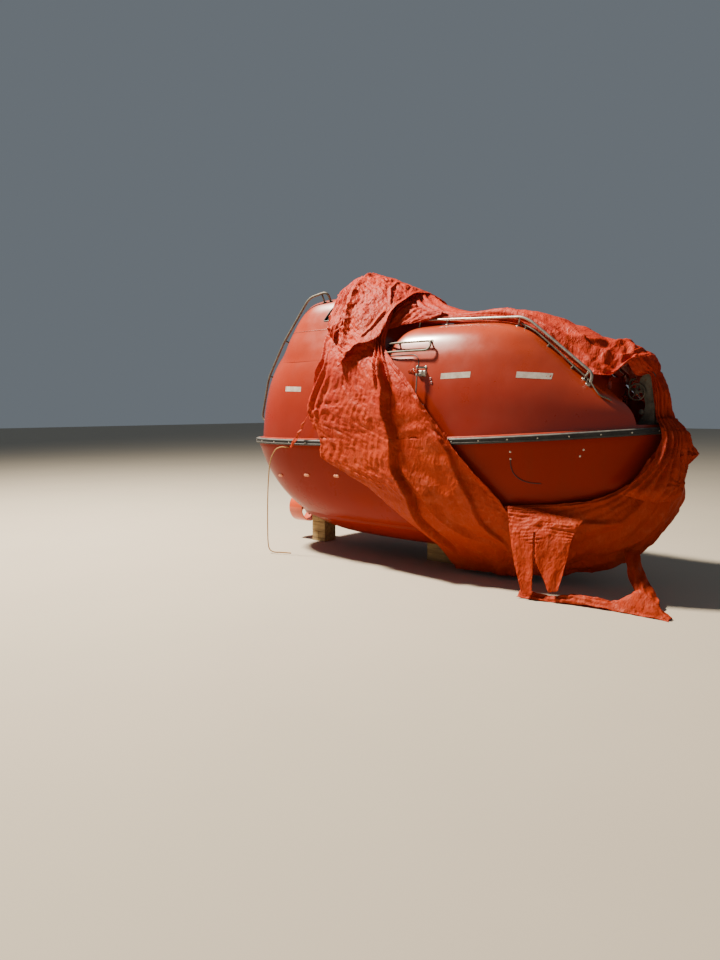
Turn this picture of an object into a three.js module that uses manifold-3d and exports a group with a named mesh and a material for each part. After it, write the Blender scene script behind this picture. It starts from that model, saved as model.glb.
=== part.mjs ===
import * as THREE from 'three';
import { mergeVertices } from 'three/addons/utils/BufferGeometryUtils.js';
import Module from 'manifold-3d';

// A totally enclosed lifeboat with a steering tower, standing on timber keel blocks with a torn
// cover over it. X runs forward, Y to port and Z up from the ground, in millimetres.

// Driving dimensions
const LENGTH = 5000;          // over the fender
const BREADTH = 2200;         // over the fender
const SHEER_Z = 1413;         // fender centre line amidships
const FENDER = { depth: 50, height: 66, flat: 19, slope: 12 };
const WALL = 42;              // moulded shell
const TOWER_WALL = 36;
const GAP = 0.3;              // between pieces that touch
const SMOOTHING = 0.12;        // flats that differ by less are one face
const FLOOR_Z = 450;          // inner floor
const HOOK_X = 2180;          // lifting hooks, fore and aft of amidships
const SIDES = [{ name: 'starboard', side: -1 }, { name: 'port', side: 1 }];
const HALF_LENGTH = LENGTH / 2 - FENDER.depth;
const HALF_BREADTH = BREADTH / 2 - FENDER.depth;

const HATCH = { x0: -400, x1: 260, z0: 1560, z1: 2340, corner: 110, skin: 24, gap: 6, rim: 26 };
const HATCH_HINGE = { x: 292, top: { y: 998, z: 2230 }, foot: { y: 1052, z: 1690 }, pin: 7 };
const NOTCH = { half: 300, wall: 32, top: 3000 };
const BOW_NOTCH = { x: 1950, deck: 1622 };
const STERN_NOTCH = { x: -1960, deck: 1460, roof: 2060, roofThick: 40 };
const PROPELLER = { x: -2290, z: 425, radius: 160, hub: 36, shaft: 15 };
const NOZZLE = { inner: 176, outer: 190, half: 120, stock: 17 };
const KEEL_BLOCKS = [
  { name: 'keel_block_aft', x0: -2050, x1: -1820, half: 110, top: 392.7 },
  { name: 'keel_block_mid', x0: -110, x1: 400, half: 200, top: 236 },
];

// Form tables. Columns: height, share of the sheer's rise, aft end, fore end, half breadth,
// power of the aft curve, powers of the fore curve along X and Y.
const HULL_FORM = [
  [210, 0.00, -1420, 1500, 60, 2.0, 2.0, 2.0],
  [240, 0.00, -1600, 1720, 360, 2.2, 1.8, 1.8],
  [330, 0.05, -1800, 1900, 580, 2.4, 1.8, 1.7],
  [480, 0.20, -2000, 2070, 780, 2.8, 1.9, 1.7],
  [700, 0.40, -2190, 2230, 930, 3.3, 2.0, 1.7],
  [1000, 0.70, -2360, 2360, 1010, 4.0, 2.1, 1.7],
  [SHEER_Z - 60, 1.00, -HALF_LENGTH, HALF_LENGTH, HALF_BREADTH, 5.0, 2.2, 1.7],
  [SHEER_Z, 1.00, -HALF_LENGTH, HALF_LENGTH, HALF_BREADTH, 5.0, 2.2, 1.7],
];
const CANOPY_FORM = [
  [SHEER_Z, 1.0, -HALF_LENGTH, HALF_LENGTH, HALF_BREADTH, 5.0, 2.2, 1.7],
  [SHEER_Z + 37, 1.0, -HALF_LENGTH, HALF_LENGTH, HALF_BREADTH, 5.0, 2.2, 1.7],
  [SHEER_Z + 48, 1.0, -2370, 2425, 1024, 5.5, 2.2, 1.8],
  [1640, 0.7, -2330, 2360, 1012, 6.0, 2.2, 1.9],
  [1900, 0.3, -2290, 2110, 990, 6.0, 2.4, 2.2],
  [2150, 0.0, -2245, 1830, 950, 5.5, 2.6, 2.5],
  [2380, 0.0, -2165, 1560, 880, 5.0, 2.9, 2.8],
  [2540, 0.0, -2080, 1370, 785, 4.5, 3.0, 3.0],
  [2625, 0.0, -2000, 1210, 660, 4.0, 3.0, 3.0],
  [2668, 0.0, -1880, 1020, 480, 3.5, 3.0, 3.0],
  [2688, 0.0, -1600, 700, 220, 3.0, 3.0, 3.0],
];
const TOWER_FORM = [
  [2320, 0, -2115, -235, 862, 3.5, 4.0, 4.0],
  [2440, 0, -2075, -250, 845, 4.0, 4.0, 4.0],
  [2560, 0, -2020, -275, 808, 4.4, 4.5, 4.5],
  [2700, 0, -1945, -310, 752, 4.8, 5.0, 5.0],
  [2840, 0, -1865, -345, 700, 5.0, 6.0, 6.0],
  [2960, 0, -1785, -385, 643, 5.0, 6.0, 6.0],
  [3035, 0, -1715, -430, 580, 5.0, 6.0, 6.0],
  [3085, 0, -1630, -520, 480, 4.5, 5.0, 5.0],
  [3105, 0, -1480, -680, 280, 4.0, 4.0, 4.0],
];
const RING_POINTS = { hull: 48, tower: 36 };

// Colours and finishes
const ORANGE = [0xc65a33, 0.42, 0];
const COVER_RED = [0xd4553f, 0.62, 0];
const STEEL = [0x9a9a94, 0.5, 0.8];
const BLACK_RUBBER = [0x17191c, 0.7, 0];
const TIMBER = [0x9b7b52, 0.9, 0];
const DARK_GLASS = [0x1c2428, 0.15, 0];
const BRONZE = [0x9c7a44, 0.4, 0.9];
const ENGINE_GREY = [0x5d6367, 0.6, 0.4];
const ROPE_TAN = [0xb08a5b, 0.9, 0];

const wasm = await Module();
wasm.setup();
const boat = new THREE.Group();

// Solids
function solid(geometry) {
  const bare = new THREE.BufferGeometry();
  bare.setAttribute('position', geometry.getAttribute('position'));
  if (geometry.index) bare.setIndex(geometry.index);
  const merged = mergeVertices(bare, 1e-3);
  const index = merged.index.array;
  const faces = [];
  for (let i = 0; i < index.length; i += 3) {
    const [a, b, c] = [index[i], index[i + 1], index[i + 2]];
    if (a !== b && b !== c && c !== a) faces.push(a, b, c);
  }
  const vertProperties = new Float32Array(merged.getAttribute('position').array);
  return new wasm.Manifold(new wasm.Mesh({ numProp: 3, vertProperties, triVerts: new Uint32Array(faces) }));
}

function largest(manifold) {
  const pieces = manifold.decompose();
  return pieces.reduce((best, piece) => (piece.volume() > best.volume() ? piece : best));
}

function add(name, shape, [color, roughness, metalness]) {
  const mesh = largest(shape).simplify(SMOOTHING).getMesh();
  const geometry = new THREE.BufferGeometry();
  geometry.setAttribute('position', new THREE.BufferAttribute(new Float32Array(mesh.vertProperties), 3));
  geometry.setIndex(new THREE.BufferAttribute(new Uint32Array(mesh.triVerts), 1));
  geometry.computeVertexNormals();
  const piece = new THREE.Mesh(geometry, new THREE.MeshStandardMaterial({ color, roughness, metalness }));
  piece.name = name;
  boat.add(piece);
}

const join = (...shapes) => shapes.reduce((sum, shape) => sum.add(shape));

function box(x0, x1, y0, y1, z0, z1) {
  const geometry = new THREE.BoxGeometry(x1 - x0, y1 - y0, z1 - z0);
  return solid(geometry.translate((x0 + x1) / 2, (y0 + y1) / 2, (z0 + z1) / 2));
}

const point = (x, y, z) => new THREE.Vector3(x, y, z);
const UP = point(0, 1, 0);

function rod(from, to, radius, sides = 10) {
  const along = to.clone().sub(from);
  const geometry = new THREE.CylinderGeometry(radius, radius, along.length(), sides);
  geometry.applyQuaternion(new THREE.Quaternion().setFromUnitVectors(UP, along.clone().normalize()));
  const middle = from.clone().add(to).multiplyScalar(0.5);
  return solid(geometry.translate(middle.x, middle.y, middle.z));
}

// A path that passes its own points one per step, so a swept tube has a ring at each of them
class PointPath extends THREE.Curve {
  constructor(points) {
    super();
    this.points = points;
  }

  getPoint(t) {
    const place = t * (this.points.length - 1);
    const i = Math.min(Math.floor(place), this.points.length - 2);
    return this.points[i].clone().lerp(this.points[i + 1], place - i);
  }

  getPointAt(t) {
    return this.getPoint(t);
  }

  getTangentAt(t) {
    const i = Math.round(t * (this.points.length - 1));
    const before = this.points[Math.max(i - 1, 0)];
    const after = this.points[Math.min(i + 1, this.points.length - 1)];
    return after.clone().sub(before).normalize();
  }
}

// Corner points with each inner corner rounded into a short curve
function rounded(corners, radius, cuts = 3) {
  const path = [corners[0]];
  for (let i = 1; i < corners.length - 1; i += 1) {
    const into = corners[i - 1].clone().sub(corners[i]);
    const out = corners[i + 1].clone().sub(corners[i]);
    const reach = Math.min(radius, into.length() * 0.45, out.length() * 0.45);
    const start = corners[i].clone().add(into.setLength(reach));
    const end = corners[i].clone().add(out.setLength(reach));
    path.push(...new THREE.QuadraticBezierCurve3(start, corners[i], end).getPoints(cuts));
  }
  path.push(corners[corners.length - 1]);
  return path;
}

function tube(path, radius, sides = 8) {
  const circle = new THREE.EllipseCurve(0, 0, radius, radius).getPoints(sides);
  const section = new THREE.Shape(circle.slice(0, sides));
  const settings = { steps: path.length - 1, extrudePath: new PointPath(path), bevelEnabled: false };
  return solid(new THREE.ExtrudeGeometry(section, settings));
}

// Forms that are lofted through level rings
const sheerRise = (x) => 0.04 * x + 0.00001 * x * x;
const signedPower = (v, power) => Math.sign(v) * Math.abs(v) ** power;

// Angles that share the points between the flat runs and the tight corners of a ring
function ringAngles(count, aftPower) {
  const fine = 400;
  const quarter = (power) => {
    const walk = [0];
    let last = [1, 0];
    for (let i = 1; i <= fine; i += 1) {
      const angle = (i / fine) * Math.PI / 2;
      const next = [signedPower(Math.cos(angle), 2 / power), signedPower(Math.sin(angle), 2 / power)];
      walk.push(walk[i - 1] + Math.hypot((next[0] - last[0]) * 2.4, next[1] - last[1]) + 2.2 / fine);
      last = next;
    }
    const angles = [];
    for (let k = 0; k < count / 4; k += 1) {
      const goal = (k / (count / 4)) * walk[fine];
      angles.push((walk.findIndex((w) => w >= goal) / fine) * Math.PI / 2);
    }
    return angles;
  };
  const fore = quarter(2);
  const aft = quarter(aftPower).map((a) => Math.PI - a);
  const half = [...fore, Math.PI / 2, ...aft.slice(1).reverse()];
  return [...half, Math.PI, ...half.slice(1).reverse().map((a) => -a)];
}

function levelRing(row, angles, centreX = 0) {
  const [z, share, aft, fore, halfBreadth, aftPower, forePowerX, forePowerY] = row;
  return angles.map((angle) => {
    const [c, s] = [Math.cos(angle), Math.sin(angle)];
    const [powerX, powerY] = c >= 0 ? [forePowerX, forePowerY] : [aftPower, aftPower];
    const reach = c >= 0 ? fore - centreX : centreX - aft;
    const x = centreX + reach * signedPower(c, 2 / powerX);
    return point(x, halfBreadth * signedPower(s, 2 / powerY), z + share * sheerRise(x));
  });
}

// Rings moved along the normals of the surface that they span
function grown(rings, distance) {
  const last = rings.length - 1;
  return rings.map((ring, level) => ring.map((p, i) => {
    const count = ring.length;
    const around = ring[(i + 1) % count].clone().sub(ring[(i + count - 1) % count]);
    const up = rings[Math.min(level + 1, last)][i].clone().sub(rings[Math.max(level - 1, 0)][i]);
    return p.clone().addScaledVector(around.cross(up).normalize(), distance);
  }));
}

function loft(rings) {
  const count = rings[0].length;
  const points = rings.flat();
  const faces = [];
  for (let level = 0; level < rings.length - 1; level += 1) {
    for (let i = 0; i < count; i += 1) {
      const [a, b] = [level * count + i, level * count + ((i + 1) % count)];
      faces.push(a, b, b + count, a, b + count, a + count);
    }
  }
  const cap = (level, flip) => {
    const centre = rings[level].reduce((sum, p) => sum.add(p), point(0, 0, 0)).divideScalar(count);
    points.push(centre);
    for (let i = 0; i < count; i += 1) {
      const [a, b] = [level * count + i, level * count + ((i + 1) % count)];
      faces.push(...(flip ? [b, a, points.length - 1] : [a, b, points.length - 1]));
    }
  };
  cap(0, true);
  cap(rings.length - 1, false);
  const geometry = new THREE.BufferGeometry().setFromPoints(points);
  geometry.setIndex(faces);
  return solid(geometry);
}

const hullAngles = ringAngles(RING_POINTS.hull, 5);
const towerAngles = ringAngles(RING_POINTS.tower, 5);
const TOWER_CENTRE = -1150;

// The valley across the canopy between the steering tower and the forward roof
const VALLEY = { x: -360, width: 190, depth: 0.16 };

function sunk(p) {
  const fall = 1 - VALLEY.depth * Math.exp(-(((p.x - VALLEY.x) / VALLEY.width) ** 2));
  return point(p.x, p.y, SHEER_Z + (p.z - SHEER_Z) * (p.z > SHEER_Z + 200 ? fall : 1));
}

const hullRings = HULL_FORM.map((row) => levelRing(row, hullAngles));
const canopyRings = CANOPY_FORM.map((row) => levelRing(row, hullAngles).map(sunk));
const towerRings = TOWER_FORM.map((row) => levelRing(row, towerAngles, TOWER_CENTRE));

const lifted = (ring, dz) => ring.map((p) => point(p.x, p.y, p.z + dz));
const hullForm = (grow) => loft(grow ? grown(hullRings, grow) : hullRings);
const canopyForm = (grow) => loft(grow ? grown(canopyRings, grow) : canopyRings);
const towerForm = (grow) => loft(grow ? grown(towerRings, grow) : towerRings);

// Hull, with a level floor inside. The floor starts between two rows of the form table.
const FLOOR_ROW = 3;
const FLOOR_SHARE = 0.97;
const ABOVE_RIM = 20;

function hull() {
  const outer = [...hullRings.slice(0, -1), lifted(hullRings.at(-1), -GAP / 2)];
  const inside = grown(hullRings, -WALL);
  const floor = inside[FLOOR_ROW].map((p) => point(p.x * FLOOR_SHARE, p.y * FLOOR_SHARE, FLOOR_Z));
  const inner = [floor, ...inside.slice(FLOOR_ROW + 1, -1), lifted(inside.at(-1), ABOVE_RIM)];
  return loft(outer).subtract(loft(inner)).add(trunk()).subtract(stockBore());
}

// Rubbing fender on the joint between hull and canopy
function fender() {
  const seat = hullRings.at(-1);
  const half = FENDER.height / 2;
  const { depth, flat, slope } = FENDER;
  // Columns: distance out from the hull, height from the centre line
  const section = [[GAP, -half], [depth - slope, -half], [depth, -flat], [depth, flat],
    [depth - slope, half], [GAP, half]];
  const count = seat.length;
  const outward = seat.map((p, i) => {
    const around = seat[(i + 1) % count].clone().sub(seat[(i + count - 1) % count]);
    return point(around.y, -around.x, 0).normalize();
  });
  const moved = (out, up) => seat.map((p, i) => p.clone().addScaledVector(outward[i], out).setZ(p.z + up));
  const rings = section.map(([out, up]) => moved(out, up));
  const faces = [];
  const points = rings.flat();
  for (let k = 0; k < section.length; k += 1) {
    const [low, high] = [k * count, ((k + 1) % section.length) * count];
    for (let i = 0; i < count; i += 1) {
      const j = (i + 1) % count;
      faces.push(low + i, low + j, high + j, low + i, high + j, high + i);
    }
  }
  const geometry = new THREE.BufferGeometry().setFromPoints(points);
  geometry.setIndex(faces);
  return solid(geometry);
}

// Rounded rectangle in the XZ plane, through the side of the boat
const PRISM = { y0: 500, y1: 1300 };

function sidePrism({ x0, x1, z0, z1, corner }, inset, side) {
  const { y0, y1 } = PRISM;
  const [a, b, c, d] = [x0 + inset, x1 - inset, z0 + inset, z1 - inset];
  const r = corner - inset;
  const shape = new THREE.Shape();
  shape.moveTo(a + r, c);
  shape.lineTo(b - r, c);
  shape.absarc(b - r, c + r, r, -Math.PI / 2, 0);
  shape.absarc(b - r, d - r, r, 0, Math.PI / 2);
  shape.absarc(a + r, d - r, r, Math.PI / 2, Math.PI);
  shape.absarc(a + r, c + r, r, Math.PI, Math.PI * 1.5);
  const settings = { depth: y1 - y0, bevelEnabled: false, curveSegments: 3 };
  const geometry = new THREE.ExtrudeGeometry(shape, settings).rotateX(Math.PI / 2);
  return solid(geometry.translate(0, side > 0 ? y1 : -y0, 0));
}

// Opening of a side hatch: a wide outer step for the lid and a narrower way through
function hatchOpening(side) {
  const way = sidePrism(HATCH, HATCH.gap + HATCH.rim, side);
  const step = sidePrism(HATCH, 0, side).subtract(canopyForm(-HATCH.skin - 1));
  return join(way, step);
}

function notchBox(x0, x1, deck, extra = 0) {
  return box(x0, x1, -NOTCH.half - extra, NOTCH.half + extra, deck - extra, NOTCH.top);
}

// Stern hatch on the sloping stern face above the hook
const STERN_HATCH = {
  half: 235, x0: -2600, x1: -1700, z0: 2130, z1: 2480, gap: 6, rim: 22,
  hinge: { x: -2140, z: 2497, pin: 6, knuckle: 13, arms: [-150, 150], lugs: [-190, -110, 110, 190] },
};

function sternOpening(inset) {
  const { half, z0, z1, x0, x1 } = STERN_HATCH;
  return box(x0, x1, -half + inset, half - inset, z0 + inset, z1 - inset);
}

// Canopy moulding with its notches, openings and the way up into the tower
const BELOW_RIM = 60;
const BEYOND = 3000;          // past the boat on every side

function canopy() {
  const shell = loft([lifted(canopyRings[0], GAP / 2), ...canopyRings.slice(1)]);
  const under = grown(canopyRings, -WALL);
  const inside = loft([lifted(under[0], -BELOW_RIM), ...under.slice(1)]);
  const { roof, roofThick } = STERN_NOTCH;
  const above = (z) => box(-BEYOND, 0, -BEYOND, BEYOND, z, BEYOND * 2);
  const bowBlock = notchBox(BOW_NOTCH.x, BEYOND, BOW_NOTCH.deck, NOTCH.wall);
  const sternBlock = notchBox(-BEYOND, STERN_NOTCH.x, STERN_NOTCH.deck, NOTCH.wall);
  const bowCut = notchBox(BOW_NOTCH.x + NOTCH.wall, BEYOND, BOW_NOTCH.deck);
  const sternCut = notchBox(-BEYOND, STERN_NOTCH.x - NOTCH.wall, STERN_NOTCH.deck);
  return shell
    .subtract(inside.subtract(bowBlock).subtract(sternBlock.subtract(above(roof + roofThick))))
    .subtract(bowCut)
    .subtract(sternCut.subtract(above(roof)))
    .subtract(towerForm(-WALL))
    .subtract(hatchOpening(1))
    .subtract(hatchOpening(-1))
    .subtract(sternOpening(0).subtract(canopyForm(-HATCH.skin - 1)))
    .subtract(sternOpening(STERN_HATCH.gap + STERN_HATCH.rim));
}

// Steering tower with a window on each face
const WINDOWS = {
  starboard: { x0: -1280, x1: -560, y0: -900, y1: -300, z0: 2800, z1: 3000 },
  port: { x0: -1280, x1: -560, y0: 300, y1: 900, z0: 2800, z1: 3000 },
  front: { x0: -700, x1: -200, y0: -420, y1: 420, z0: 2790, z1: 2985 },
  aft: { x0: -2200, x1: -1700, y0: -330, y1: 330, z0: 2800, z1: 2940 },
};
const PANE = { out: 14, thick: 6 };

const windowBox = ({ x0, x1, y0, y1, z0, z1 }, inset) =>
  box(x0 + inset, x1 - inset, y0 + inset, y1 - inset, z0 + inset, z1 - inset);

function tower() {
  const foot = box(-BEYOND, 0, -BEYOND, BEYOND, TOWER_FORM[0][0] - 10, TOWER_FORM[0][0] + 5);
  let shell = towerForm(0).subtract(towerForm(-TOWER_WALL)).subtract(foot);
  for (const window of Object.values(WINDOWS)) shell = shell.subtract(windowBox(window, 0));
  return shell.subtract(canopyForm(GAP));
}

function pane(window) {
  return towerForm(-PANE.out).subtract(towerForm(-PANE.out - PANE.thick)).intersect(windowBox(window, GAP));
}

// An arm stands this far over the canopy and bites this far into its own lid
const ARM = { over: 5, bite: 4 };

// Side hatches, hinged on their forward edge
function hingePoint(z, side, out = 0) {
  const { top, foot } = HATCH_HINGE;
  const share = (z - foot.z) / (top.z - foot.z);
  return point(HATCH_HINGE.x, side * (foot.y + share * (top.y - foot.y) + out), z);
}

const HINGE_HEIGHTS = [1765, 2155];
const KNUCKLE = { half: 26, radius: 15, clear: 0.6, arm: 130, lug: 70, lugHalf: 10, inward: 90 };

function hatchHinge(side) {
  const { pin } = HATCH_HINGE;
  let hinge = rod(hingePoint(HINGE_HEIGHTS[0] - 62, side), hingePoint(HINGE_HEIGHTS[1] + 62, side), pin);
  for (const z of HINGE_HEIGHTS) {
    for (const end of [-1, 1]) {
      const near = hingePoint(z + end * (KNUCKLE.half + 2), side);
      const far = hingePoint(z + end * (KNUCKLE.half + 26), side);
      hinge = join(hinge, rod(near, far, KNUCKLE.radius));
      const foot = near.clone().add(far).multiplyScalar(0.5);
      const reach = [foot.y, foot.y - side * KNUCKLE.inward].sort((a, b) => a - b);
      const { lug, lugHalf } = KNUCKLE;
      hinge = join(hinge, box(foot.x, foot.x + lug, ...reach, foot.z - lugHalf, foot.z + lugHalf));
    }
  }
  return hinge.subtract(canopyForm(GAP));
}

function sideHatch(side) {
  const lid = canopyForm(0).subtract(canopyForm(-HATCH.skin)).intersect(sidePrism(HATCH, HATCH.gap, side));
  let hatch = largest(lid);
  for (const z of HINGE_HEIGHTS) {
    const low = hingePoint(z - KNUCKLE.half, side);
    const high = hingePoint(z + KNUCKLE.half, side);
    const middle = hingePoint(z, side);
    const reach = [middle.y - side * 2, middle.y - side * 60].sort((a, b) => a - b);
    const half = KNUCKLE.half - 2;
    const arm = box(middle.x - KNUCKLE.arm, middle.x, ...reach, z - half, z + half);
    const clear = canopyForm(ARM.over).subtract(sidePrism(HATCH, HATCH.gap, side));
    const knuckle = rod(low, high, KNUCKLE.radius);
    hatch = join(hatch, knuckle, arm.subtract(canopyForm(-ARM.bite)).subtract(clear));
  }
  const [foot, top] = [hingePoint(HATCH.z0, side), hingePoint(HATCH.z1, side)];
  return hatch.subtract(rod(foot, top, HATCH_HINGE.pin + KNUCKLE.clear));
}

// Stern hatch, hinged on its top edge
function sternHatch() {
  const lid = canopyForm(0).subtract(canopyForm(-HATCH.skin)).intersect(sternOpening(STERN_HATCH.gap));
  const { x, z, pin, knuckle, arms } = STERN_HATCH.hinge;
  const clear = canopyForm(ARM.over).subtract(sternOpening(STERN_HATCH.gap));
  let hatch = largest(lid);
  for (const y of arms) {
    const arm = box(x - 30, x + 20, y - 22, y + 22, z - 75, z);
    const barrel = rod(point(x, y - 25, z), point(x, y + 25, z), knuckle);
    hatch = join(hatch, barrel, arm.subtract(canopyForm(-ARM.bite)).subtract(clear));
  }
  return hatch.subtract(rod(point(x, -300, z), point(x, 300, z), pin + KNUCKLE.clear));
}

function sternHinge() {
  const { x, z, pin, knuckle, lugs } = STERN_HATCH.hinge;
  let hinge = rod(point(x, lugs[0] - 15, z), point(x, lugs.at(-1) + 15, z), pin);
  for (const y of lugs) {
    const barrel = rod(point(x, y - 12, z), point(x, y + 12, z), knuckle);
    hinge = join(hinge, barrel, box(x, x + 75, y - 10, y + 10, z, z + 34));
  }
  return hinge.subtract(canopyForm(GAP));
}

// Bow hatch, let into the aft wall of the bow notch
const BOW_HATCH = { half: 215, thick: 22, above: 40, top: 2080 };

function bowHatch() {
  const { half, thick, above, top } = BOW_HATCH;
  const x = BOW_NOTCH.x + NOTCH.wall;
  const slab = box(x + GAP, x + thick, -half, half, BOW_NOTCH.deck + above, top);
  return slab.subtract(canopyForm(GAP).subtract(notchBox(x, BEYOND, BOW_NOTCH.deck)));
}

// Lifting hooks. A post of two cheeks carries a hook on a pin between them.
const HOOK = {
  cheek: 12, spread: 21, pin: 11, thick: 26, pivot: { x: -52, z: 395 }, post: 130, top: 505,
  eye: 27, bend: { outer: 62, inner: 38, from: 0.45 * Math.PI, to: 2.1 * Math.PI, reach: 96, drop: 6 },
};

function hookPost(end, deck) {
  const { cheek, spread, top, pivot, pin, post } = HOOK;
  const outline = [[-110, 0], [60, 0], [60, top * 0.9], [28, top], [-12, top], [-95, pivot.z + 30],
    [-95, pivot.z - 40], [-20, 190]];
  const side = new THREE.Shape(outline.map(([x, z]) => new THREE.Vector2(x * end, z)));
  const plate = (y) => {
    const geometry = new THREE.ExtrudeGeometry(side, { depth: cheek, bevelEnabled: false });
    geometry.rotateX(Math.PI / 2);
    return solid(geometry.translate(end * (HOOK_X + post), y, deck + GAP));
  };
  const middle = end * (HOOK_X + post);
  const at = point(middle + end * pivot.x, 0, deck + pivot.z);
  const foot = box(middle - 125, middle + 75, -95, 95, deck + GAP, deck + 14);
  const back = [middle + end * 40, middle + end * 60].sort((a, b) => a - b);
  const web = box(...back, -spread, spread, deck + 5, deck + top * 0.85);
  const pinHalf = spread + cheek + 8;
  const pivotPin = rod(at.clone().setY(-pinHalf), at.clone().setY(pinHalf), pin);
  return join(plate(-spread), plate(spread + cheek), foot, web, pivotPin);
}

// A round hook on the post's pin, with its mouth at the top beside the post
function hook(end, deck) {
  const { thick, pin, pivot, post, bend, eye } = HOOK;
  const centre = point(end * (HOOK_X + post + pivot.x), 0, deck + pivot.z);
  const disc = new THREE.Shape();
  disc.absarc(0, 0, eye, 0, Math.PI * 2);
  const arc = new THREE.Shape();
  arc.absarc(0, 0, bend.outer, bend.from, bend.to);
  arc.absarc(0, 0, bend.inner, bend.to, bend.from, true);
  const plate = (outline, dx, dz) => {
    const settings = { depth: thick, bevelEnabled: false, curveSegments: 10 };
    const geometry = new THREE.ExtrudeGeometry(outline, settings);
    geometry.translate(-dx, dz, -thick / 2).rotateX(Math.PI / 2);
    if (end < 0) geometry.rotateZ(Math.PI);
    return solid(geometry.translate(centre.x, 0, centre.z));
  };
  const reach = [centre.x - end * 50, centre.x - end * 18].sort((a, b) => a - b);
  const link = box(...reach, -thick / 2, thick / 2, centre.z - 14, centre.z + 14);
  const body = join(plate(disc, 0, 0), link, plate(arc, bend.reach, -bend.drop));
  return body.subtract(rod(centre.clone().setY(-40), centre.clone().setY(40), pin + 0.6, 16));
}

// Skeg with the stern tube, under the after end of the keel
const SKEG = { x0: -2050, x1: -1600, foot: 393, top: 900, half: 24, tube: 32, out: 105, bore: 20 };

function skeg() {
  const { x0, x1, foot, top, half, tube: tubeRadius, out, bore } = SKEG;
  const { z, shaft } = PROPELLER;
  const plate = box(x0, x1, -half, half, foot, top);
  const sternTube = rod(point(x0 - out, 0, z), point(x0 + 300, 0, z), tubeRadius, 16);
  const shaftBore = rod(point(x0 - out - 15, 0, z), point(x0 - bore, 0, z), shaft + 0.6, 16);
  const flat = box(x0 - 10, x1 + 100, -300, 300, foot - 100, foot);
  return join(plate, sternTube).subtract(hullForm(GAP)).subtract(flat).subtract(shaftBore);
}

function propeller() {
  const { x, z, radius, hub, shaft } = PROPELLER;
  const profile = [[0, -70], [hub * 0.55, -62], [hub * 0.9, -40], [hub, -10], [hub, 42], [0, 42]];
  const boss = new THREE.LatheGeometry(profile.map(([r, a]) => new THREE.Vector2(r, a)), 16);
  let wheel = solid(boss.rotateZ(-Math.PI / 2).translate(x, 0, z));
  const blade = new THREE.Shape();
  blade.moveTo(-26, hub - 10);
  blade.bezierCurveTo(-60, hub + 50, -66, radius - 20, -8, radius);
  blade.bezierCurveTo(50, radius - 8, 54, hub + 60, 22, hub - 10);
  for (let k = 0; k < 3; k += 1) {
    const plate = new THREE.ExtrudeGeometry(blade, { depth: 9, bevelEnabled: false, curveSegments: 6 });
    plate.rotateX(Math.PI / 2).translate(0, 4.5, 0).rotateZ(THREE.MathUtils.degToRad(58));
    wheel = wheel.add(solid(plate.rotateX((k * Math.PI * 2) / 3).translate(x, 0, z)));
  }
  return join(wheel, rod(point(x + 30, 0, z), point(SKEG.x0 - 40, 0, z), shaft, 16));
}

// Steering nozzle round the propeller, hung on its stock
function nozzle() {
  const { inner, outer, half, stock } = NOZZLE;
  const profile = [[inner + 4, -half], [inner + 14, -half], [outer + 6, half - 20], [outer, half],
    [inner + 8, half], [inner, half - 40], [inner + 4, -half]];
  const ring = new THREE.LatheGeometry(profile.map(([r, a]) => new THREE.Vector2(r, a)), 32);
  const { x, z } = PROPELLER;
  const top = z + outer;
  const shaft = rod(point(x, 0, top - 4), point(x, 0, top + 290), stock);
  const flange = rod(point(x, 0, top - 6), point(x, 0, top + 16), 44, 16);
  return join(solid(ring.rotateZ(-Math.PI / 2).translate(x, 0, z)), shaft, flange);
}

// Trunk in the hull that the nozzle's stock turns in
const TRUNK = { z0: 646, z1: 945, radius: 32 };
const upright = (z0, z1, radius) => rod(point(PROPELLER.x, 0, z0), point(PROPELLER.x, 0, z1), radius, 16);
const trunk = () => upright(TRUNK.z0, TRUNK.z1, TRUNK.radius);
const stockBore = () => upright(TRUNK.z0 - 40, TRUNK.z1 + 40, NOZZLE.stock + 0.6);

// Tubular rails. Rows are points along the tube for the starboard side, mirrored to port.
const RAIL_RADIUS = 14;
const CANOPY_RAIL = {
  path: [[-60, 480, 2660], [-40, 480, 2742], [1190, 480, 2684], [1290, 480, 2636], [1930, 480, 2106],
    [1915, 480, 2040]],
  feet: [[310, 480, 2735], [1170, 480, 2690], [1905, 480, 2130]],
};
const STERN_RAIL = {
  path: [[-1312, 535, 3030], [-1312, 600, 3165], [-1600, 610, 3118], [-2040, 620, 2600],
    [-2300, 640, 2170], [-2440, 640, 1640], [-2300, 640, 1560]],
  feet: [[-1400, 604, 3150], [-2020, 620, 2625], [-2290, 640, 2190]],
  seats: [[-1400, 540, 3030], [-1895, 600, 2565], [-2165, 620, 2130]],
};
const GRAB_RAIL = { x0: -500, x1: 390, low: 2372, high: 2468, out: 62, feet: [-470, -60, 350] };

const mirrored = (points, side) => points.map(([x, y, z]) => point(x, side * y, z));

function canopyRail(side) {
  let rail = tube(rounded(mirrored(CANOPY_RAIL.path, side), 70), RAIL_RADIUS);
  for (const at of mirrored(CANOPY_RAIL.feet, side)) {
    rail = rail.add(rod(at, at.clone().add(point(-25, -side * 10, -150)), 10, 6));
  }
  return rail.subtract(canopyForm(GAP));
}

function sternRail(side) {
  let rail = tube(rounded(mirrored(STERN_RAIL.path, side), 90), RAIL_RADIUS);
  const seats = mirrored(STERN_RAIL.seats, side);
  mirrored(STERN_RAIL.feet, side).forEach((at, k) => {
    rail = rail.add(rod(at, seats[k], 10, 6));
  });
  return rail.subtract(canopyForm(GAP)).subtract(towerForm(GAP));
}

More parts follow.
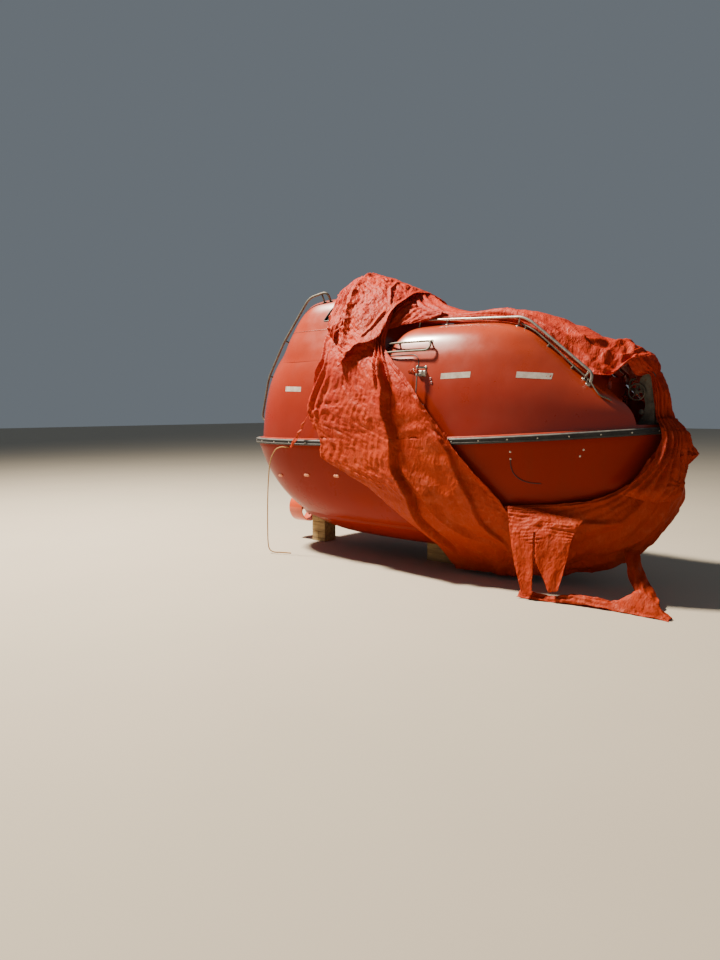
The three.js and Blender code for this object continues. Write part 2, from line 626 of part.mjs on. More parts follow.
const onCanopy = (x, z, side) => {
  const levels = canopyRings.map((ring) => ring.filter((p) => p.y > 0));
  const across = levels.map((ring) => {
    const near = ring.reduce((best, p) => (Math.abs(p.x - x) < Math.abs(best.x - x) ? p : best));
    const next = ring[Math.min(Math.max(ring.indexOf(near) + (near.x > x ? 1 : -1), 0), ring.length - 1)];
    return near.clone().lerp(next, (x - near.x) / ((next.x - near.x) || 1));
  });
  const above = across.findIndex((p) => p.z > z);
  const [low, high] = [across[above - 1], across[above]];
  return point(x, side * low.clone().lerp(high, (z - low.z) / (high.z - low.z)).y, z);
};

function grabRail(side) {
  const { x0, x1, low, high, out, feet } = GRAB_RAIL;
  const off = (x, z) => onCanopy(x, z, side).add(point(0, side * out, 0));
  const round = (x, sign) => [-60, -30, 0, 30, 60].map((angle) => {
    const turn = THREE.MathUtils.degToRad(angle);
    const r = (high - low) / 2;
    return off(x + sign * r * Math.cos(turn), (low + high) / 2 + sign * r * Math.sin(turn));
  });
  const straight = (from, to, z) => [0, 1, 2, 3].map((k) => off(from + ((to - from) * k) / 3, z));
  const r = (high - low) / 2;
  const lower = straight(x0 + r, x1 - r, low);
  const upper = straight(x1 - r, x0 + r, high);
  const ring = [...lower, ...round(x1 - r, 1), ...upper, ...round(x0 + r, -1)];
  let rail = solid(closedTube([...ring, ring[0]], 11, 6));
  for (const x of feet) {
    const at = off(x, high);
    rail = rail.add(rod(at, at.clone().add(point(0, -side * (out + 60), 0)), 9, 6));
  }
  return rail.subtract(canopyForm(GAP)).subtract(towerForm(GAP));
}

// Closed tube through a ring of points, the last of which repeats the first
function closedTube(points, radius, sides) {
  const count = points.length - 1;
  const faces = [];
  const skin = [];
  for (let i = 0; i < count; i += 1) {
    const along = points[(i + 1) % count].clone().sub(points[(i + count - 1) % count]).normalize();
    const out = point(0, 1, 0).addScaledVector(along, -along.y).normalize();
    const up = along.clone().cross(out);
    for (let k = 0; k < sides; k += 1) {
      const turn = (k / sides) * Math.PI * 2;
      const side = out.clone().multiplyScalar(radius * Math.cos(turn));
      skin.push(points[i].clone().add(side).addScaledVector(up, radius * Math.sin(turn)));
      const next = (i + 1) % count;
      const [a, b] = [i * sides + k, i * sides + ((k + 1) % sides)];
      const [c, d] = [next * sides + k, next * sides + ((k + 1) % sides)];
      faces.push(a, b, d, a, d, c);
    }
  }
  const geometry = new THREE.BufferGeometry().setFromPoints(skin);
  geometry.setIndex(faces);
  return geometry;
}

// Inside: side benches and the engine casing
const BENCH = { x0: -1450, x1: 1350, y0: 430, y1: 1200, top: 860 };
const ENGINE = { x0: -1650, x1: -980, half: 270, top: 1010 };

function bench(side) {
  const across = [side * BENCH.y0, side * BENCH.y1].sort((a, b) => a - b);
  return box(BENCH.x0, BENCH.x1, ...across, FLOOR_Z + GAP, BENCH.top).intersect(hullForm(-WALL - 1));
}

const engine = () => box(ENGINE.x0, ENGINE.x1, -ENGINE.half, ENGINE.half, FLOOR_Z + GAP, ENGINE.top);

// Timber blocks, cut to the keel
const keelBlock = ({ x0, x1, half, top }) => box(x0, x1, -half, half, 0, top).subtract(hullForm(GAP));

// Cover. Each patch is a sheet through a grid of points, rows by columns, X, Y, Z.
const COVER_THICK = 12;
const TOWER_COVER = [
  [[-1180, 715, 2880], [-900, 730, 2880], [-600, 725, 2880], [-340, 640, 2880]],
  [[-1180, 540, 3120], [-900, 550, 3160], [-600, 545, 3130], [-335, 480, 3050]],
  [[-1200, 200, 3200], [-900, 200, 3320], [-600, 200, 3250], [-330, 200, 3120]],
  [[-1250, -200, 3260], [-980, -200, 3420], [-620, -200, 3300], [-300, -200, 3110]],
  [[-1270, -500, 3130], [-980, -510, 3260], [-600, -520, 3180], [-280, -500, 3000]],
  [[-1200, -750, 2850], [-900, -785, 2850], [-600, -780, 2850], [-300, -700, 2820]],
  [[-1200, -860, 2600], [-870, -920, 2560], [-500, -920, 2510], [-280, -850, 2480]],
  [[-1180, -990, 2310], [-800, -1040, 2290], [-420, -1030, 2270], [-60, -1010, 2270]],
  [[-1240, -1040, 1990], [-720, -1080, 1980], [-220, -1090, 1970], [230, -1080, 2010]],
  [[-1260, -1070, 1700], [-700, -1100, 1700], [-120, -1110, 1710], [470, -1110, 1730]],
  [[-1100, -1110, 1420], [-500, -1120, 1430], [110, -1120, 1440], [700, -1080, 1460]],
  [[-920, -1120, 1170], [-300, -1130, 1130], [300, -1120, 1140], [940, -1020, 1190]],
  [[-420, -1080, 930], [80, -1100, 900], [630, -1060, 880], [1180, -920, 900]],
  [[20, -1000, 660], [380, -1000, 620], [850, -930, 620], [1320, -800, 680]],
  [[300, -780, 360], [700, -740, 340], [1120, -700, 380], [1500, -600, 440]],
  [[400, -500, 60], [750, -480, 50], [1150, -450, 50], [1550, -400, 120]],
];
const RIDGE_COVER = [
  [[-300, -350, 3060], [-300, 50, 3150], [-290, 450, 2960], [-285, 730, 2700]],
  [[0, -400, 2870], [0, 0, 2980], [0, 450, 2870], [0, 730, 2680]],
  [[450, -420, 2780], [430, 0, 2880], [450, 500, 2790], [470, 790, 2580]],
  [[1000, -420, 2760], [1000, 0, 2840], [1000, 500, 2770], [1000, 830, 2480]],
  [[1370, -380, 2640], [1370, 0, 2730], [1370, 450, 2640], [1400, 760, 2360]],
  [[1780, -380, 2350], [1800, 0, 2550], [1800, 380, 2380], [1800, 640, 2110]],
  [[2120, -260, 2180], [2200, 0, 2370], [2200, 260, 2230], [2150, 450, 1960]],
  [[2430, -150, 2130], [2460, 0, 2230], [2450, 150, 2150], [2420, 300, 1950]],
  [[2455, -120, 1900], [2540, 20, 1950], [2500, 200, 1900], [2470, 330, 1850]],
  [[2460, -110, 1690], [2560, 40, 1700], [2520, 220, 1690], [2480, 340, 1680]],
  [[2570, -130, 1480], [2680, 40, 1470], [2650, 220, 1480], [2560, 360, 1490]],
  [[2600, -150, 1330], [2760, 40, 1330], [2700, 220, 1340], [2590, 380, 1350]],
];
const BOW_SLING = [
  [[1240, -840, 820], [1360, -820, 580], [1420, -660, 300], [1450, -420, 60]],
  [[1760, -640, 870], [1860, -600, 600], [1840, -440, 320], [1800, -160, 140]],
  [[2030, -480, 930], [2160, -400, 660], [2100, -240, 380], [2020, 0, 190]],
  [[2270, -300, 1080], [2400, -200, 800], [2340, -60, 520], [2200, 120, 300]],
  [[2430, -190, 1360], [2600, -40, 1050], [2520, 100, 720], [2360, 240, 450]],
  [[2570, 0, 1480], [2690, 100, 1180], [2600, 260, 850], [2420, 400, 600]],
  [[2560, 240, 1480], [2640, 320, 1180], [2500, 440, 900], [2300, 520, 680]],
];
const FOLDED_FLAP = [
  [[1240, -850, 810], [1500, -780, 790], [1790, -640, 770]],
  [[1380, -960, 450], [1560, -930, 450], [1760, -820, 450]],
  [[1500, -1050, 60], [1600, -1020, 60], [1720, -930, 60]],
  [[1560, -1060, 20], [1680, -1030, 20], [1860, -960, 20]],
];
const GROUND_STRIP = [
  [[1600, -1090, 20], [1640, -960, 20]],
  [[1850, -1040, 50], [1880, -900, 20]],
  [[2170, -960, 20], [2190, -820, 50]],
  [[2500, -920, 40], [2480, -780, 20]],
  [[2740, -880, 20], [2720, -760, 20]],
];
const HANGING_STRIP = [
  [[2130, -330, 560], [2330, -240, 620]],
  [[2260, -460, 260], [2440, -380, 300]],
  [[2480, -680, 30], [2620, -620, 30]],
  [[2620, -800, 20], [2740, -740, 20]],
];

function catmull(points, t) {
  const place = t * (points.length - 1);
  const i = Math.min(Math.floor(place), points.length - 2);
  const f = place - i;
  const [a, b] = [points[Math.max(i - 1, 0)], points[i]];
  const [c, d] = [points[i + 1], points[Math.min(i + 2, points.length - 1)]];
  const mix = (axis) => {
    const [p, q, r, s] = [a[axis], b[axis], c[axis], d[axis]];
    return q + 0.5 * f * (r - p + f * (2 * p - 5 * q + 4 * r - s + f * (3 * (q - r) + s - p)));
  };
  return point(mix('x'), mix('y'), mix('z'));
}

function sheet(grid, thick, rowCuts = 2, columnCuts = 2) {
  const corners = grid.map((row) => row.map(([x, y, z]) => point(x, y, z)));
  const [rows, columns] = [(grid.length - 1) * rowCuts, (grid[0].length - 1) * columnCuts];
  const skin = [];
  for (let j = 0; j <= rows; j += 1) {
    const row = [];
    for (let i = 0; i <= columns; i += 1) {
      const line = corners.map((points) => catmull(points, i / columns));
      row.push(catmull(line, j / rows));
    }
    skin.push(row);
  }
  const normal = (j, i) => {
    const along = skin[Math.min(j + 1, rows)][i].clone().sub(skin[Math.max(j - 1, 0)][i]);
    const across = skin[j][Math.min(i + 1, columns)].clone().sub(skin[j][Math.max(i - 1, 0)]);
    return along.cross(across).normalize();
  };
  const points = [];
  for (const half of [thick / 2, -thick / 2]) {
    const face = skin.map((row, j) => row.map((p, i) => p.clone().addScaledVector(normal(j, i), half)));
    points.push(...face.flat());
  }
  const width = columns + 1;
  const back = width * (rows + 1);
  const faces = [];
  for (let j = 0; j < rows; j += 1) {
    for (let i = 0; i < columns; i += 1) {
      const [a, b, c, d] = [j * width + i, j * width + i + 1, (j + 1) * width + i + 1, (j + 1) * width + i];
      faces.push(a, d, c, a, c, b, a + back, c + back, d + back, a + back, b + back, c + back);
    }
  }
  const rim = [];
  for (let i = 0; i < columns; i += 1) rim.push([i, i + 1]);
  for (let j = 0; j < rows; j += 1) rim.push([j * width + columns, (j + 1) * width + columns]);
  for (let i = columns; i > 0; i -= 1) rim.push([rows * width + i, rows * width + i - 1]);
  for (let j = rows; j > 0; j -= 1) rim.push([j * width, (j - 1) * width]);
  for (const [a, b] of rim) faces.push(a, b, b + back, a, b + back, a + back);
  const geometry = new THREE.BufferGeometry().setFromPoints(points);
  geometry.setIndex(faces);
  return solid(geometry);
}

// The room that a sheet takes, a hair larger all round
function room(grid, rowCuts) {
  const thicker = sheet(grid, COVER_THICK + 4 * GAP, rowCuts);
  const shifts = [[2 * GAP, 0, 0], [-2 * GAP, 0, 0], [0, 0, 2 * GAP], [0, 0, -2 * GAP]];
  return join(thicker, ...shifts.map((shift) => thicker.translate(shift)));
}

// What the cover lies on, a hair larger
const ground = () => box(-BEYOND, BEYOND, -BEYOND, BEYOND, -BEYOND, 1);
const bearers = () => [hullForm(GAP), canopyForm(GAP), towerForm(GAP), ground()];

function seated(shape, ...others) {
  return [...bearers(), ...others].reduce((left, bearer) => left.subtract(bearer), shape);
}

// Free rope that hangs over the fender at the starboard quarter and lies on the ground
const ROPE = {
  radius: 7,
  path: [[-1560, -990, 1312], [-1562, -1075, 1312], [-1600, -1108, 1318], [-1680, -1120, 1290],
    [-1740, -1124, 1220], [-1790, -1126, 1100], [-1815, -1128, 900], [-1828, -1130, 700],
    [-1834, -1130, 500], [-1838, -1128, 300], [-1842, -1120, 140], [-1838, -1100, 50],
    [-1810, -1060, 14], [-1750, -1010, 8], [-1680, -980, 8], [-1610, -960, 8]],
};

function rope() {
  const path = ROPE.path.map(([x, y, z]) => point(x, y, z));
  return tube(path, ROPE.radius).subtract(hullForm(GAP));
}

assemble();

function assemble() {
  add('hull', hull(), ORANGE);
  add('canopy', canopy(), ORANGE);
  add('steering_tower', tower(), ORANGE);
  const guard = fender();
  add('fender', guard, BLACK_RUBBER);
  for (const [name, window] of Object.entries(WINDOWS)) {
    add(`tower_window_${name}`, pane(window), DARK_GLASS);
  }
  for (const { name, side } of SIDES) {
    add(`${name}_hatch`, sideHatch(side), ORANGE);
    add(`${name}_hatch_hinge`, hatchHinge(side), STEEL);
  }
  add('stern_hatch', sternHatch(), ORANGE);
  add('stern_hatch_hinge', sternHinge(), STEEL);
  add('bow_hatch', bowHatch(), ORANGE);
  for (const [name, end, deck] of [['bow', 1, BOW_NOTCH.deck], ['stern', -1, STERN_NOTCH.deck]]) {
    add(`${name}_hook_post`, hookPost(end, deck), STEEL);
    add(`${name}_hook`, hook(end, deck), STEEL);
  }
  add('skeg', skeg(), ORANGE);
  add('propeller', propeller(), BRONZE);
  add('steering_nozzle', nozzle(), ORANGE);
  const rails = SIDES.map(({ side }) => canopyRail(side));
  SIDES.forEach(({ name, side }, k) => {
    add(`handrail_${name}`, rails[k], STEEL);
    add(`stern_rail_${name}`, sternRail(side), STEEL);
    add(`grab_rail_${name}`, grabRail(side), STEEL);
    add(`bench_${name}`, bench(side), ORANGE);
  });
  add('engine', engine(), ENGINE_GREY);
  for (const block of KEEL_BLOCKS) add(block.name, keelBlock(block), TIMBER);
  add('rope', rope(), ROPE_TAN);
  add('cover_tower', seated(sheet(TOWER_COVER, COVER_THICK, 1), guard), COVER_RED);
  const clearOfTower = room(TOWER_COVER, 1);
  add('cover_ridge', seated(sheet(RIDGE_COVER, COVER_THICK), clearOfTower, guard), COVER_RED);
  const clearOfRidge = room(RIDGE_COVER, 2);
  const strips = [BOW_SLING, FOLDED_FLAP, GROUND_STRIP, HANGING_STRIP];
  const sling = join(...strips.map((grid) => sheet(grid, COVER_THICK)));
  add('cover_sling', seated(sling, clearOfTower, clearOfRidge, guard), COVER_RED);
}

export default boat;
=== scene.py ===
import math

import bmesh
import bpy
import numpy as np
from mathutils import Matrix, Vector
from mathutils.bvhtree import BVHTree


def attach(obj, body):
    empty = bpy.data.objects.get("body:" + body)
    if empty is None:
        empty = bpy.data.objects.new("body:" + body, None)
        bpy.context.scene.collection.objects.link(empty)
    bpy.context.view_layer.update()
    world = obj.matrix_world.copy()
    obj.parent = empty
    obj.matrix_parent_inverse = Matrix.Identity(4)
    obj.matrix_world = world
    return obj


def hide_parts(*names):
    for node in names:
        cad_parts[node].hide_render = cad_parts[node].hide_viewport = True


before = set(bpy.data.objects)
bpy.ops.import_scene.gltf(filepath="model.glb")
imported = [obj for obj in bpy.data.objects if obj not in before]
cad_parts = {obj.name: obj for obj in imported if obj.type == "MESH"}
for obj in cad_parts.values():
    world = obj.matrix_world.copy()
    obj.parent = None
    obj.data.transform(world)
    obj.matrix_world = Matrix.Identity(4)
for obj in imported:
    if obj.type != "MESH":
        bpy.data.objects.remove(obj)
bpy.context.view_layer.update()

# A totally enclosed lifeboat on timber blocks under a torn cover, dressed over its CAD frame.
# X runs forward, Y to port and Z up from the ground, in metres.

UP = Vector((0, 0, 1))
SIDES = (("starboard", -1), ("port", 1))

# Driving sizes, as in the CAD
GAP = 0.0003             # between parts that rest on each other
SHEER_Z = 1.413
HALF_LENGTH = 2.45
HALF_BREADTH = 1.05
WALL = 0.042
TOWER_WALL = 0.036
FLOOR_Z = 0.45
TOWER_CENTRE = -1.15
FENDER = {"depth": 0.05, "half": 0.033, "bolts": 0.28}
NOTCH = {"half": 0.30, "wall": 0.032, "bow_x": 1.982, "bow_deck": 1.622, "stern_x": -1.992,
         "stern_deck": 1.460, "stern_roof": 2.06}
HATCH = {"x": (-0.40, 0.26), "z": (1.56, 2.34), "corner": 0.11, "skin": 0.024, "gap": 0.006, "rim": 0.026}
HATCH_CENTRE = (sum(HATCH["x"]) / 2, sum(HATCH["z"]) / 2)
HATCH_HALF = ((HATCH["x"][1] - HATCH["x"][0]) / 2, (HATCH["z"][1] - HATCH["z"][0]) / 2)
HINGE = {"x": 0.292, "foot": (1.052, 1.69), "top": (0.998, 2.23), "heights": (1.765, 2.155)}
STERN_HATCH = {"half": 0.235, "z": (2.13, 2.48), "hinge": (-2.14, 2.497), "rim": 0.022, "cut": (-2.6, -1.7)}
TRUNK = {"z": 0.646, "length": 0.3, "radius": 0.032, "bore": 0.0178, "bore_z": 0.60, "bore_length": 0.38}
PROPELLER = {"x": -2.29, "z": 0.425, "radius": 0.16, "hub": 0.036, "shaft": 0.015, "shaft_end": -2.09}

# Form tables. Columns: height, share of the sheer's rise, aft end, fore end, half breadth,
# power of the aft curve, powers of the fore curve along X and Y.
HULL_FORM = (
    (0.210, 0.00, -1.420, 1.500, 0.060, 2.0, 2.0, 2.0),
    (0.240, 0.00, -1.600, 1.720, 0.360, 2.2, 1.8, 1.8),
    (0.330, 0.05, -1.800, 1.900, 0.580, 2.4, 1.8, 1.7),
    (0.480, 0.20, -2.000, 2.070, 0.780, 2.8, 1.9, 1.7),
    (0.700, 0.40, -2.190, 2.230, 0.930, 3.3, 2.0, 1.7),
    (1.000, 0.70, -2.360, 2.360, 1.010, 4.0, 2.1, 1.7),
    (SHEER_Z - 0.06, 1.0, -HALF_LENGTH, HALF_LENGTH, HALF_BREADTH, 5.0, 2.2, 1.7),
    (SHEER_Z, 1.0, -HALF_LENGTH, HALF_LENGTH, HALF_BREADTH, 5.0, 2.2, 1.7),
)
CANOPY_FORM = (
    (SHEER_Z, 1.0, -HALF_LENGTH, HALF_LENGTH, HALF_BREADTH, 5.0, 2.2, 1.7),
    (SHEER_Z + 0.037, 1.0, -HALF_LENGTH, HALF_LENGTH, HALF_BREADTH, 5.0, 2.2, 1.7),
    (SHEER_Z + 0.048, 1.0, -2.370, 2.425, 1.024, 5.5, 2.2, 1.8),
    (1.640, 0.7, -2.330, 2.360, 1.012, 6.0, 2.2, 1.9),
    (1.900, 0.3, -2.290, 2.110, 0.990, 6.0, 2.4, 2.2),
    (2.150, 0.0, -2.245, 1.830, 0.950, 5.5, 2.6, 2.5),
    (2.380, 0.0, -2.165, 1.560, 0.880, 5.0, 2.9, 2.8),
    (2.540, 0.0, -2.080, 1.370, 0.785, 4.5, 3.0, 3.0),
    (2.625, 0.0, -2.000, 1.210, 0.660, 4.0, 3.0, 3.0),
    (2.668, 0.0, -1.880, 1.020, 0.480, 3.5, 3.0, 3.0),
    (2.688, 0.0, -1.600, 0.700, 0.220, 3.0, 3.0, 3.0),
    (2.692, 0.0, -1.400, 0.500, 0.060, 3.0, 3.0, 3.0),
)
TOWER_FORM = (
    (2.320, 0, -2.115, -0.235, 0.862, 3.5, 4.0, 4.0),
    (2.440, 0, -2.075, -0.250, 0.845, 4.0, 4.0, 4.0),
    (2.560, 0, -2.020, -0.275, 0.808, 4.4, 4.5, 4.5),
    (2.700, 0, -1.945, -0.310, 0.752, 4.8, 5.0, 5.0),
    (2.840, 0, -1.865, -0.345, 0.700, 5.0, 6.0, 6.0),
    (2.960, 0, -1.785, -0.385, 0.643, 5.0, 6.0, 6.0),
    (3.035, 0, -1.715, -0.430, 0.580, 5.0, 6.0, 6.0),
    (3.085, 0, -1.630, -0.520, 0.480, 4.5, 5.0, 5.0),
    (3.105, 0, -1.480, -0.680, 0.280, 4.0, 4.0, 4.0),
    (3.110, 0, -1.300, -0.860, 0.080, 4.0, 4.0, 4.0),
)
VALLEY = {"x": -0.36, "width": 0.19, "depth": 0.16, "from": 1.55, "to": 2.05}


def placed(name, data, place, ahead):
    """A camera or lamp that looks along a direction."""
    obj = bpy.data.objects.new(name, data)
    obj.location = place
    obj.rotation_mode = "QUATERNION"
    obj.rotation_quaternion = ahead.to_track_quat("-Z", "Y")
    bpy.context.collection.objects.link(obj)
    return obj


def set_camera():
    """A camera at the photograph's place, fitted to its horizon and to the boat's size."""
    height_px, focal_px, horizon_px = 960, 721, 408
    sensor = 36
    place = (4.605, -7.14, 1.78)
    azimuth = math.radians(39.6)
    pitch = math.atan((height_px / 2 - horizon_px) / focal_px)
    data = bpy.data.cameras.new("camera")
    data.sensor_fit = "AUTO"
    data.sensor_width = sensor
    data.lens = sensor * focal_px / height_px
    level = math.cos(pitch)
    ahead = Vector((-math.sin(azimuth) * level, math.cos(azimuth) * level, -math.sin(pitch)))
    bpy.context.scene.camera = placed("camera", data, place, ahead)


set_camera()


# Materials. Each is a Principled shader with procedural colour, roughness and bump.
class Finish:
    def __init__(self, name, slot):
        self.slot = slot
        self.material = bpy.data.materials.new(name)
        self.material.use_nodes = True
        self.tree = self.material.node_tree
        self.shader = self.tree.nodes["Principled BSDF"]
        self.place = self.tree.nodes.new("ShaderNodeTexCoord").outputs["Object"]

    def node(self, kind, **settings):
        made = self.tree.nodes.new("ShaderNode" + kind)
        for key, value in settings.items():
            setattr(made, key, value)
        return made

    def feed(self, socket, value):
        if isinstance(value, bpy.types.NodeSocket):
            self.tree.links.new(value, socket)
        else:
            socket.default_value = value

    def stretched(self, scale):
        mapping = self.node("Mapping")
        self.feed(mapping.inputs["Vector"], self.place)
        mapping.inputs["Scale"].default_value = scale
        return mapping.outputs["Vector"]

    def noise(self, scale, detail=4, rough=0.55, stretch=None, distortion=0.0):
        made = self.node("TexNoise")
        self.feed(made.inputs["Vector"], self.stretched(stretch) if stretch else self.place)
        made.inputs["Scale"].default_value = scale
        made.inputs["Detail"].default_value = detail
        made.inputs["Roughness"].default_value = rough
        made.inputs["Distortion"].default_value = distortion
        return made.outputs["Fac"]

    def ramp(self, value, low, high, start=0.0, end=1.0):
        made = self.node("MapRange", clamp=True)
        self.feed(made.inputs["Value"], value)
        for key, number in (("From Min", low), ("From Max", high), ("To Min", start), ("To Max", end)):
            made.inputs[key].default_value = number
        return made.outputs["Result"]

    def math(self, operation, first, second=0.0):
        made = self.node("Math", operation=operation)
        self.feed(made.inputs[0], first)
        self.feed(made.inputs[1], second)
        return made.outputs[0]

    def times(self, first, second):
        return self.math("MULTIPLY", first, second)

    def plus(self, first, second):
        return self.math("ADD", first, second)

    def patches(self, scale, detail, rough, low, high, *ends, **more):
        """Noise cut to a mask that rises between low and high."""
        return self.ramp(self.noise(scale, detail, rough, **more), low, high, *ends)

    def cells(self, scale, place=None, output="Distance", **settings):
        made = self.node("TexVoronoi", **settings)
        self.feed(made.inputs["Vector"], place or self.place)
        made.inputs["Scale"].default_value = scale
        return made.outputs[output]

    def mix(self, share, first, second):
        made = self.node("Mix", data_type="RGBA", blend_type="MIX")
        self.feed(made.inputs[0], share)
        self.feed(made.inputs[6], first)
        self.feed(made.inputs[7], second)
        return made.outputs[2]

    def axis(self, which, source="Position"):
        split = self.node("SeparateXYZ")
        if source == "Normal":
            self.feed(split.inputs[0], self.node("NewGeometry").outputs["Normal"])
        else:
            self.feed(split.inputs[0], self.place)
        return split.outputs[which]

    def bump(self, height, strength, distance):
        made = self.node("Bump")
        made.inputs["Strength"].default_value = strength
        made.inputs["Distance"].default_value = distance
        self.feed(made.inputs["Height"], height)
        return made.outputs["Normal"]

    def finish(self, **sockets):
        for name, value in sockets.items():
            self.feed(self.shader.inputs[name.replace("_", " ")], value)
        return self


def tint(red, green, blue):
    """A colour given as an sRGB byte triple."""
    def linear(byte):
        share = byte / 255
        return share / 12.92 if share <= 0.04045 else ((share + 0.055) / 1.055) ** 2.4
    return (linear(red), linear(green), linear(blue), 1.0)


RUN_DOWN, SPECK, DUST = (0.16, 0.02, 0.004, 1), (0.20, 0.07, 0.03, 1), (0.60, 0.14, 0.06, 1)


def gelcoat(name, slot, base, faded_and_highlit, dark, fade_and_painted_light=0.5, dirt=0.4, gloss=0.8):
    """Gelcoat, paler high up and where it faces up (partly sun fading, partly painted highlight and painted sky
    light), blotched, with run-down dirt.
    """
    look = Finish(name, slot)
    up = look.ramp(look.axis("Z", "Normal"), 0.15, 0.95)
    clouds = look.patches(1.1, 5, 0.6, 0.35, 0.7)
    high = look.ramp(look.axis("Z"), 1.6, 2.6)
    # Paler high up and facing up: partly sun fading, partly painted highlight and painted sky light on the
    # upper surfaces
    colour = look.mix(look.times(look.plus(up, high), fade_and_painted_light), base, faded_and_highlit)
    colour = look.mix(look.times(clouds, 0.35), colour, dark)
    streaks = look.patches(7.0, 6, 0.65, 0.52, 0.74, stretch=(1.0, 1.0, 0.09))
    grime = dirt * 0.35
    colour = look.mix(look.times(streaks, grime), colour, RUN_DOWN)
    specks = look.patches(90.0, 2, 0.6, 0.70, 0.76)
    colour = look.mix(look.times(specks, grime), colour, SPECK)
    dust = look.times(look.patches(3.3, 6, 0.7, 0.45, 0.75), up)
    colour = look.mix(look.times(dust, grime), colour, DUST)
    rough = look.patches(4.0, 5, 0.6, 0.3, 0.75, 0.24, 0.42)
    waves = look.noise(2.2, 2, 0.4)
    peel = look.noise(55.0, 2, 0.5)
    height = look.plus(waves, look.times(peel, 0.03))
    return look.finish(Base_Color=colour, Roughness=rough, Normal=look.bump(height, 0.35, 0.02),
                       Specular_IOR_Level=0.5 * gloss, Coat_Weight=gloss, Coat_Roughness=0.21)


def plain_paint(name, slot, base, dark, scale=9.0, rough=(0.35, 0.6), metal=0.0, bump=0.15, worn=None):
    """Paint, rubber, steel or plastic with blotches, fine grain and, if wanted, worn patches."""
    look = Finish(name, slot)
    colour = look.mix(look.patches(scale, 6, 0.65, 0.35, 0.7), base, dark)
    if worn:
        patches = look.patches(scale * 2.6, 8, 0.75, 0.56, 0.64)
        colour = look.mix(patches, colour, worn)
    grain = look.noise(scale * 18, 4, 0.6)
    return look.finish(Base_Color=colour, Metallic=metal, Roughness=look.ramp(grain, 0.3, 0.7, *rough),
                       Normal=look.bump(grain, bump, 0.002))


def rubber():
    look = Finish("fender_rubber", "fender_rubber")
    # Pale on the fender's upper face: partly dust, partly a painted highlight along its top
    up = look.ramp(look.axis("Z", "Normal"), 0.25, 0.8)
    dust = look.times(up, look.patches(6.0, 6, 0.7, 0.35, 0.7, 0.10, 0.7))
    colour = look.mix(look.patches(9.0, 5, 0.6, 0.4, 0.7), tint(24, 26, 30), tint(44, 45, 48))
    colour = look.mix(dust, colour, tint(128, 122, 114))
    scuffs = look.patches(26.0, 6, 0.7, 0.62, 0.7, 0, 0.5, stretch=(0.4, 0.4, 2.0))
    colour = look.mix(scuffs, colour, tint(96, 94, 90))
    # Pale peach at the fender's aft end: a painted highlight where light glints on the rounded stern corner
    aft = look.ramp(look.axis("X"), -2.44, -2.36, 0.8, 0.0)
    colour = look.mix(aft, colour, (0.62, 0.26, 0.17, 1))
    return look.finish(Base_Color=colour, Roughness=look.ramp(look.noise(40.0), 0.3, 0.7, 0.5, 0.75),
                       Normal=look.bump(look.noise(120.0), 0.2, 0.002))


def timber():
    look = Finish("timber", "timber")
    grain = look.noise(3.2, 8, 0.7, stretch=(0.6, 9.0, 9.0), distortion=0.6)
    colour = look.mix(look.ramp(grain, 0.35, 0.65), tint(186, 156, 104), tint(122, 92, 56))
    cracks = look.patches(5.0, 8, 0.8, 0.6, 0.66, stretch=(0.5, 14.0, 14.0))
    colour = look.mix(look.times(cracks, 0.8), colour, tint(58, 44, 30))
    grime = look.patches(6.0, 5, 0.6, 0.5, 0.8, 0, 0.5)
    colour = look.mix(grime, colour, tint(110, 98, 80))
    height = look.math("SUBTRACT", grain, look.times(cracks, 0.8))
    return look.finish(Base_Color=colour, Roughness=0.85, Normal=look.bump(height, 0.6, 0.004))


